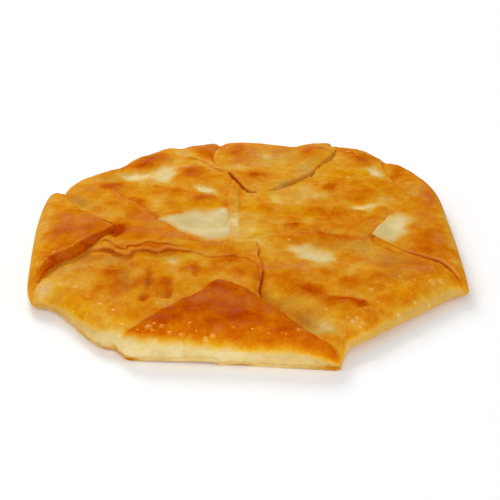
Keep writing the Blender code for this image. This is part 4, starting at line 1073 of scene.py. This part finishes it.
class Finish(Tree):
    """A material with one Principled shader, and the patterns that feed it."""

    def __init__(self, name):
        self.material = bpy.data.materials.new(name)
        self.material.use_nodes = True
        super().__init__(self.material.node_tree)

    def shade(self, inputs):
        """Links or sets the shader's sockets, and gives back the material."""
        shader = self.tree.nodes["Principled BSDF"]
        for socket, value in inputs.items():
            self.put(shader.inputs[socket], value)
        return self.material

    def mark(self, name):
        """One of the marks written on the piece's points."""
        return self.node("ShaderNodeAttribute", attribute_name=name).outputs["Fac"]

    def pattern(self, scale, detail, roughness):
        """A noise pattern, with its scale in turns per metre."""
        place = self.node("ShaderNodeTexCoord").outputs["Object"]
        made = self.node("ShaderNodeTexNoise", {
            "Vector": place, "Scale": scale, "Detail": detail, "Roughness": roughness,
        })
        return made.outputs["Fac"]

    def math(self, operation, a, b, clamp=False):
        """A sum, product or the like of two values."""
        made = self.node("ShaderNodeMath", {0: a, 1: b}, operation=operation, use_clamp=clamp)
        return made.outputs[0]

    def share(self, a, b):
        """A product kept between 0 and 1."""
        return self.math("MULTIPLY", a, b, True)

    def mix(self, amount, a, b, blend="MIX"):
        """A colour between two."""
        made = self.node("ShaderNodeMix", {"Factor": amount, COLOUR_A: a, COLOUR_B: b},
                         data_type="RGBA", blend_type=blend)
        return made.outputs[COLOUR_OUT]

    def tint(self, amount, colour, by):
        """A colour multiplied by another, by some amount."""
        return self.mix(amount, colour, by, "MULTIPLY")

    def browned(self, bake):
        """The dough's colour where it fried this brown."""
        made = self.node("ShaderNodeValToRGB", {0: bake})
        elements = made.color_ramp.elements
        while len(elements) < len(BAKE_COLOURS):
            elements.new(0.5)
        for element, (place, colour) in zip(elements, BAKE_COLOURS):
            element.position = place
            element.color = linear(*colour)
        return made.outputs[0]


# ------------------------------------------------------------------ blisters and specks

# Fry blisters: x, y, radius
BLISTERS = (
    (81, -47.5, 2.2), (84.8, -45.6, 1.7), (82, -37.5, 1.2), (79.5, -43.6, 0.9),
    (67, -45.3, 1.1), (57, -49.5, 1.2), (60.5, -51, 0.8), (54, -55.5, 1.6), (50.5, -70, 1.4),
    (46.5, -75.5, 1.2), (44.4, -77.4, 1.1), (48.5, -77.5, 1.0), (42.5, -75.4, 0.9),
    (47.4, -79.6, 0.9), (53, 78, 1.7), (51, 47.5, 1.1), (57, 72, 1.0), (20, -15.5, 1.1),
    (6.7, -46.6, 1.0), (-43, -85.4, 0.8), (-38.6, -84.5, 1.8), (-33.1, -85, 1.4),
    (-36.4, -82.6, 0.9), (-29.9, -88.4, 1.4), (-24.7, -89.8, 1.5), (-37, -86.4, 0.9),
    (-22, -83, 0.9), (-15.4, -91.4, 1.2), (-12.5, -90.2, 1.3), (-19, -87.6, 0.7),
    (4.4, -61.5, 0.8), (22.4, -87.8, 1.4), (17, -90.2, 1.0), (15.2, -89.6, 0.7),
    (3.6, -87.4, 1.0), (-4, -86, 0.8), (10, -90, 0.8), (-72, -52, 1.0), (-60, -66, 1.0),
    (-66, -60, 0.9), (-54, -71, 1.0), (-86, -34, 1.4), (-84, -28, 1.0), (-50, -80, 0.9),
    (72, -60, 0.9), (64, -68, 0.9), (88, -38, 1.0), (34, -70, 0.8), (56, -64, 0.8),
    (76, -52, 1.0), (73, -47, 0.9), (36, 84, 0.9), (-36, -66, 0.8), (-30, -61, 0.7),
)
BLISTER_FINENESS, SPECK_FINENESS = 3, 1  # subdivisions of a dome
BLISTER_CHANGE, SPECK_CHANGE = -0.14, -0.17  # they fried less than the crust round them
SPECKS = 1100
SPECK_RADIUS = (0.15, 0.52)
MOSTLY_SMALL = 3  # the power that makes small specks the commoner
SPECK_SEED = 11
SPECK_TRIES, SPECK_REACH = 4000, 97  # places drawn at a time, this far out at most
SPECKS_INSIDE = 1.2  # how far in from the rim they stay
SPECKS_ELSEWHERE = 0.5
# Where the specks crowd: x, y, half length, half width, crowding and turn
SPECK_CROWDS = (
    (-60, -66, 26, 10, 2.8, -42), (-10, -86, 34, 6, 1.2), (66, -60, 30, 12, 2.4, 42),
    (-70, -40, 14, 12, 0.5), (-30, -70, 10, 8, 0.8), (70, -20, 20, 14, 0.8),
)
CROWDING = 4  # the column of how closely they crowd
DOME_FLATNESS = 0.36
DOME_SINK = 0.14  # how deep a dome of radius 1 sits in the crust
# The tree's inputs: for a dome of radius 1, and what 1 mm of radius measures in metres
DOME_SIZES = {"Flatness": DOME_FLATNESS, "Height": -DOME_SINK, "Size": MM}
DOME_THIN = 0.5  # how much of the crust's thinness shows in a dome


def domes_tree(material, fineness):
    """Stands a flattened dome on each point, by its own size and facing."""
    tree = bpy.data.node_groups.new("domes", "GeometryNodeTree")
    sockets = tree.interface
    sockets.new_socket("Geometry", in_out="INPUT", socket_type="NodeSocketGeometry")
    for name in DOME_SIZES:
        sockets.new_socket(name, in_out="INPUT", socket_type="NodeSocketFloat")
    sockets.new_socket("Geometry", in_out="OUTPUT", socket_type="NodeSocketGeometry")
    t = Tree(tree)
    given = t.node("NodeGroupInput").outputs
    ball = t.node("GeometryNodeMeshIcoSphere", {"Subdivisions": fineness})
    smooth = t.node("GeometryNodeSetShadeSmooth", {"Geometry": ball.outputs["Mesh"]})
    flat = t.node("ShaderNodeCombineXYZ", {"X": 1, "Y": 1, "Z": given["Flatness"]})
    sunk = t.node("ShaderNodeCombineXYZ", {"Z": given["Height"]})
    dome = t.node("GeometryNodeTransform", {
        "Geometry": smooth.outputs["Geometry"], "Scale": flat.outputs["Vector"],
        "Translation": sunk.outputs["Vector"],
    })
    size = t.node("GeometryNodeInputNamedAttribute", {"Name": "size"})
    sized = t.node("ShaderNodeMath", {0: size.outputs["Attribute"], 1: given["Size"]},
                   operation="MULTIPLY")
    facing = t.node("GeometryNodeInputNamedAttribute", {"Name": "facing"},
                    data_type="FLOAT_VECTOR")
    turn = t.node("FunctionNodeAlignRotationToVector", {"Vector": facing.outputs["Attribute"]},
                  axis="Z")
    stood = t.node("GeometryNodeInstanceOnPoints", {
        "Points": given["Geometry"], "Instance": dome.outputs["Geometry"],
        "Rotation": turn.outputs["Rotation"], "Scale": sized.outputs["Value"],
    })
    real = t.node("GeometryNodeRealizeInstances", {"Geometry": stood.outputs["Instances"]})
    dressed = t.node("GeometryNodeSetMaterial", {
        "Geometry": real.outputs["Geometry"], "Material": material,
    })
    t.node("NodeGroupOutput", {"Geometry": dressed.outputs["Geometry"]})
    return tree


def dome_points(name, surface, plan, radii, bake_change):
    """A point for each dome on the crust, with its size, facing and marks."""
    spots, made, facing = surface.facing(plan)
    look = surface.browning(plan, made)
    data = bpy.data.meshes.new(name)
    data.from_pydata([tuple(p) for p in (spots + plan_shift()) * MM], [], [])
    bake = np.clip(look["bake"] + bake_change, 0, 1)
    mark_points(data, {"size": radii, "bake": bake, "thin": look["thin"] * DOME_THIN,
                       "painted_rim_light": look["painted_rim_light"]})
    layer = data.attributes.new("facing", "FLOAT_VECTOR", "POINT")
    layer.data.foreach_set("vector", facing.astype(np.float32).ravel())
    return new_object(name + "_points", data)


def make_domes(name, points, material, fineness):
    """Domes on the points, as one plain mesh; the points are used up."""
    modifier = points.modifiers.new("domes", "NODES")
    modifier.node_group = domes_tree(material, fineness)
    for item in modifier.node_group.interface.items_tree:
        if item.in_out == "INPUT" and item.name in DOME_SIZES:
            modifier[item.identifier] = DOME_SIZES[item.name]
    seen = points.evaluated_get(bpy.context.evaluated_depsgraph_get())
    plain = bpy.data.meshes.new_from_object(seen)
    plain.name = name
    points.modifiers.remove(modifier)
    bpy.data.objects.remove(points)
    return new_object(name, plain)


def speck_places(surface):
    """Seeded plan places of the specks, closer together where they crowd, and their radii."""
    random = np.random.default_rng(SPECK_SEED)
    places = []
    most = SPECKS_ELSEWHERE + max(row[CROWDING] for row in SPECK_CROWDS)
    while len(places) < SPECKS:
        tries = random.uniform(-SPECK_REACH, SPECK_REACH, (SPECK_TRIES, 2))
        tries = tries[surface.inward(tries) > SPECKS_INSIDE]
        crowding = SPECKS_ELSEWHERE + bumps(tries, SPECK_CROWDS)
        kept = tries[random.uniform(0, most, len(tries)) < crowding]
        places += list(kept)
    radii = random.uniform(0, 1, SPECKS) ** MOSTLY_SMALL
    low, high = SPECK_RADIUS
    return np.array(places[:SPECKS]), low + (high - low) * radii


def make_blisters(surface, skin):
    """The fry blisters."""
    rows = np.array(BLISTERS)
    points = dome_points("blisters", surface, rows[:, :2], rows[:, 2], BLISTER_CHANGE)
    return make_domes("blisters", points, skin, BLISTER_FINENESS)


def make_specks(surface, skin):
    """The specks that the oil raised."""
    points = dome_points("specks", surface, *speck_places(surface), SPECK_CHANGE)
    return make_domes("specks", points, skin, SPECK_FINENESS)


# ------------------------------------------------------------------ materials

# Screen colours, 0 to 255. How the dough looks by how brown it is:
BAKE_COLOURS = (
    (0.0, (250, 230, 180)), (0.1, (240, 208, 142)), (0.2, (227, 186, 112)),
    (0.3, (222, 170, 78)), (0.4, (221, 158, 50)), (0.5, (218, 143, 32)),
    (0.6, (213, 128, 18)), (0.7, (206, 113, 8)), (0.8, (198, 97, 3)),
    (0.9, (188, 81, 0)), (1.0, (175, 63, 0)),
)
THIN_COLOUR, FILLING_COLOUR = (215, 193, 130), (229, 208, 156)
# The painted sheen's mauve, and the vivid gold's tint
PAINTED_SHEEN_MAUVE, VIVID_TINT = (206, 118, 76), (255, 250, 90)
HERB_AND_SHADE_COLOUR = (176, 144, 66)
# The colour of the painted highlight along the lips' edges
EDGE_HIGHLIGHT_COLOUR = (238, 160, 70)
OIL_SHEEN = (255, 190, 80)
FLOOR_WHITE = (250, 250, 250)
# How many times brighter in red, green and blue
BLISTER_TINT = (1.04, 1.03, 0.98, 1)  # a blister's skin is thinner,
PAINTED_RIM_LIGHT_TINT = (1.26, 1.27, 1.3, 1)  # and the rolled rim's painted light, brightest where it faces the front
# Patterns: turns per metre, detail, roughness
PATTERNS = {"broad": (90, 4, 0.55), "fine": (420, 4, 0.6), "pores": (1500, 2, 0.5),
            "flakes": (230, 6, 0.62)}
BLISTER_PATTERN = (700, 2, 0.55)
BLISTER_MOTTLE = 0.08
MIDDLE = (0.3, 0.7)  # most of a pattern lies between these
# How the patterns change the bake: pattern, its range, the change at each end
MOTTLE = (
    ("broad", *MIDDLE, -0.06, 0.06), ("fine", *MIDDLE, -0.06, 0.06),
    ("pores", *MIDDLE, 0.05, -0.06), ("flakes", 0.54, 0.60, 0.0, -0.05),
    ("flakes", 0.44, 0.39, 0.0, 0.05),
)
# The rest is brought from one range to another
PALE_IS_EVEN = (0.1, 0.4, 0.3, 1.0)  # bake to the mottling's share
THIN_BROWNS_LESS = (0.05, 0.6, 0.0, 0.2)  # thinness to what the bake loses by it
THIN_SHOWS = (0.12, 0.75)  # thinness to how far the filling shows
THIN_IN_SKIN = 0.5
THIN_PATCHY = (0.25, 0.75, 0.72, 1.15)  # and a pattern to each mark's patches
FILLING_PATCHY = (0.38, 0.62)
HERB_AND_SHADE_PATCHY = (0.35, 0.65, 0.1, 0.8)
EDGE_HIGHLIGHT_PATCHY = (0.35, 0.6, 0.1, 0.6)
SHEEN_PATCHY = (*MIDDLE, -0.25, 0.25)
SHEEN_SHARE, VIVID_SHARE = 0.42, -0.9  # how far sheen goes to mauve, or below 0 to vivid
CRUST_ROUGHNESS = (*MIDDLE, 0.34, 0.5)
SKIN = {"flakes": 0.7, "pores": 0.25}  # what the crust's fine relief is made of
SKIN_DEPTH, SKIN_STRENGTH = 0.7 * MM, 0.5


def linear(red, green, blue):
    """A screen colour, 0 to 255, as the linear colour that a shader takes."""
    parts = []
    for value in (red, green, blue):
        v = value / 255
        parts.append(v / 12.92 if v <= 0.04045 else ((v + 0.055) / 1.055) ** 2.4)
    return (*parts, 1.0)


def mottled(n, bake, patterns):
    """The bake with its mottling, and without it where the dough is pale."""
    mottle = 0.0
    for name, *change in MOTTLE:
        mottle = n.math("ADD", mottle, n.remap(patterns[name], *change))
    mottle = n.math("MULTIPLY", mottle, n.remap(bake, *PALE_IS_EVEN))
    return n.math("ADD", bake, mottle)


def sheen_and_vivid(n, colour, fine):
    """The colour with its painted sheen, dull and pinkish, or made vivid by the oil."""
    sheen = n.math("ADD", n.mark("sheen"), n.remap(fine, *SHEEN_PATCHY))
    colour = n.mix(n.share(sheen, SHEEN_SHARE), colour, linear(*PAINTED_SHEEN_MAUVE))
    return n.tint(n.share(sheen, VIVID_SHARE), colour, linear(*VIVID_TINT))


def over_filling(n, colour, thin, broad):
    """The colour with the filling and its herbs showing where the dough is thin, and painted
    shade in the hollows.
    """
    filling = n.mix(n.remap(broad, *FILLING_PATCHY), linear(*THIN_COLOUR),
                    linear(*FILLING_COLOUR))
    colour = n.mix(n.remap(thin, *THIN_SHOWS), colour, filling)
    green = n.share(n.mark("green"), n.remap(broad, *HERB_AND_SHADE_PATCHY))
    return n.mix(green, colour, linear(*HERB_AND_SHADE_COLOUR))


def skin_relief(n, patterns):
    """The crust's finest relief: flakes and pores."""
    skin = 0.0
    for name, share in SKIN.items():
        skin = n.math("ADD", skin, n.math("MULTIPLY", patterns[name], share))
    bump = n.node("ShaderNodeBump", {
        "Height": skin, "Strength": SKIN_STRENGTH, "Distance": SKIN_DEPTH,
    })
    return bump.outputs["Normal"]


def fried_crust():
    """Fried and drained dough, whose colour follows the marks on the crust."""
    n = Finish("fried_crust")
    patterns = {name: n.pattern(*values) for name, values in PATTERNS.items()}
    broad, fine = patterns["broad"], patterns["fine"]
    thin = n.share(n.mark("thin"), n.remap(fine, *THIN_PATCHY))
    bake = mottled(n, n.mark("bake"), patterns)
    colour = n.browned(n.math("SUBTRACT", bake, n.remap(thin, *THIN_BROWNS_LESS)))
    colour = over_filling(n, sheen_and_vivid(n, colour, fine), thin, broad)
    # Painted highlight: the top of the lips' edges is lightened.
    painted_highlight = n.share(n.mark("edge"), n.remap(broad, *EDGE_HIGHLIGHT_PATCHY))
    colour = n.mix(painted_highlight, colour, linear(*EDGE_HIGHLIGHT_COLOUR))
    return n.shade({
        # The base colour is brightened where the rolled rim has its painted light.
        "Base Color": n.tint(n.mark("painted_rim_light"), colour, PAINTED_RIM_LIGHT_TINT),
        "Roughness": n.remap(broad, *CRUST_ROUGHNESS),
        "Specular IOR Level": 0.0,
        "Normal": skin_relief(n, patterns),
    })


def blister_skin():
    """Thin, faintly glossy skin of a fry blister: the crust's colour, lighter."""
    n = Finish("blister_skin")
    mottle = n.remap(n.pattern(*BLISTER_PATTERN), *MIDDLE, -BLISTER_MOTTLE, BLISTER_MOTTLE)
    colour = n.browned(n.math("ADD", n.mark("bake"), mottle))
    colour = n.mix(n.math("MULTIPLY", n.mark("thin"), THIN_IN_SKIN), colour, linear(*THIN_COLOUR))
    colour = n.tint(1.0, colour, BLISTER_TINT)
    return n.shade({
        # The base colour is brightened where the rolled rim has its painted light.
        "Base Color": n.tint(n.mark("painted_rim_light"), colour, PAINTED_RIM_LIGHT_TINT),
        "Roughness": 0.35,
        "Specular IOR Level": 0.25,
        "Specular Tint": linear(*OIL_SHEEN),
    })


def pale_floor():
    """A plain white tabletop."""
    return Finish("pale_floor").shade({
        "Base Color": linear(*FLOOR_WHITE),
        "Roughness": 0.8,
        "Specular IOR Level": 0.1,
        "Emission Color": (1, 1, 1, 1),
        "Emission Strength": 0.1,
    })


# ------------------------------------------------------------------ stage

CAMERA_DISTANCE = 588.0  # from the point it looks at
CAMERA_ELEVATION = 30.0
LOOKS_AT = (2.4, -14.0, 8.0)
LENS = 93.6
FLOOR_HALF = 4.0  # metres, as are the softboxes' places and sizes; their power is in watts
SOFTBOXES = {
    "key": ((-0.24, 0.58, 0.52), 0.34, 3.75),
    "front_top": ((0.0, -0.75, 0.8), 0.7, 2.4),
    "front_fill": ((0.0, -1.0, 0.34), 0.6, 2.3),
    "left_fill": ((-0.9, -0.4, 0.7), 0.6, 2.7),
    "right_fill": ((1.0, -0.3, 0.5), 0.6, 3.6),
}
ROOM_LOW, ROOM_HIGH = 0.03, 0.50  # brightness of the room's walls and of its ceiling
CEILING_FROM, CEILING_TO = 0.5, 0.9  # by how far a direction points to the ceiling's light
CEILING_TOWARDS = (-0.15, 0.45, 0.88)


def make_camera():
    """The photograph's view: from the front, 30 degrees above the table."""
    target = Vector(np.array(LOOKS_AT) + plan_shift()) * MM
    angle = math.radians(CAMERA_ELEVATION)
    back = Vector((0, -math.cos(angle), math.sin(angle)))
    camera = new_object("camera", bpy.data.cameras.new("camera"))
    camera.data.lens = LENS
    camera.location = target + back * CAMERA_DISTANCE * MM
    camera.rotation_euler = (-back).to_track_quat("-Z", "Y").to_euler()
    bpy.context.scene.camera = camera


def soft_light(name, place, size, power):
    """A square softbox that faces the pie."""
    light = bpy.data.lights.new(name, "AREA")
    light.size = size
    light.energy = power
    box = new_object(name, light)
    box.location = place
    box.rotation_euler = (-Vector(place)).to_track_quat("-Z", "Y").to_euler()


def make_floor():
    """The tabletop that the pie lies on."""
    data = bpy.data.meshes.new("floor")
    half = FLOOR_HALF
    corners = [(-half, -half, 0), (half, -half, 0), (half, half, 0), (-half, half, 0)]
    data.from_pydata(corners, [], [(0, 1, 2, 3)])
    data.materials.append(pale_floor())
    return new_object("floor", data)


def make_room():
    """A white room, brightest overhead."""
    world = bpy.data.worlds.new("white_room")
    world.use_nodes = True
    t = Tree(world.node_tree)
    towards = t.node("ShaderNodeVectorMath", {
        0: t.node("ShaderNodeTexCoord").outputs["Generated"], 1: CEILING_TOWARDS,
    }, operation="DOT_PRODUCT")
    level = t.remap(towards.outputs["Value"], CEILING_FROM, CEILING_TO, ROOM_LOW, ROOM_HIGH,
                    interpolation_type="SMOOTHSTEP")
    room = world.node_tree.nodes["Background"]
    t.put(room.inputs["Color"], (1, 1, 1, 1))
    t.put(room.inputs["Strength"], level)
    bpy.context.scene.world = world


def make_stage():
    """Floor, softboxes and room."""
    make_floor()
    for name, (place, size, power) in SOFTBOXES.items():
        soft_light(name, place, size, power)
    make_room()
    bpy.context.scene.view_settings.view_transform = "Standard"


# ------------------------------------------------------------------ the pie, dressed


def main():
    """Sets up the camera and the stage, and dresses the pie."""
    make_camera()
    make_stage()
    surface = Surface()
    crust = make_crust(surface)
    crust.data.materials.append(fried_crust())
    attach(crust, "root")
    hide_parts("placinta")
    skin = blister_skin()
    for piece in (make_blisters(surface, skin), make_specks(surface, skin)):
        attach(piece, "root")


main()
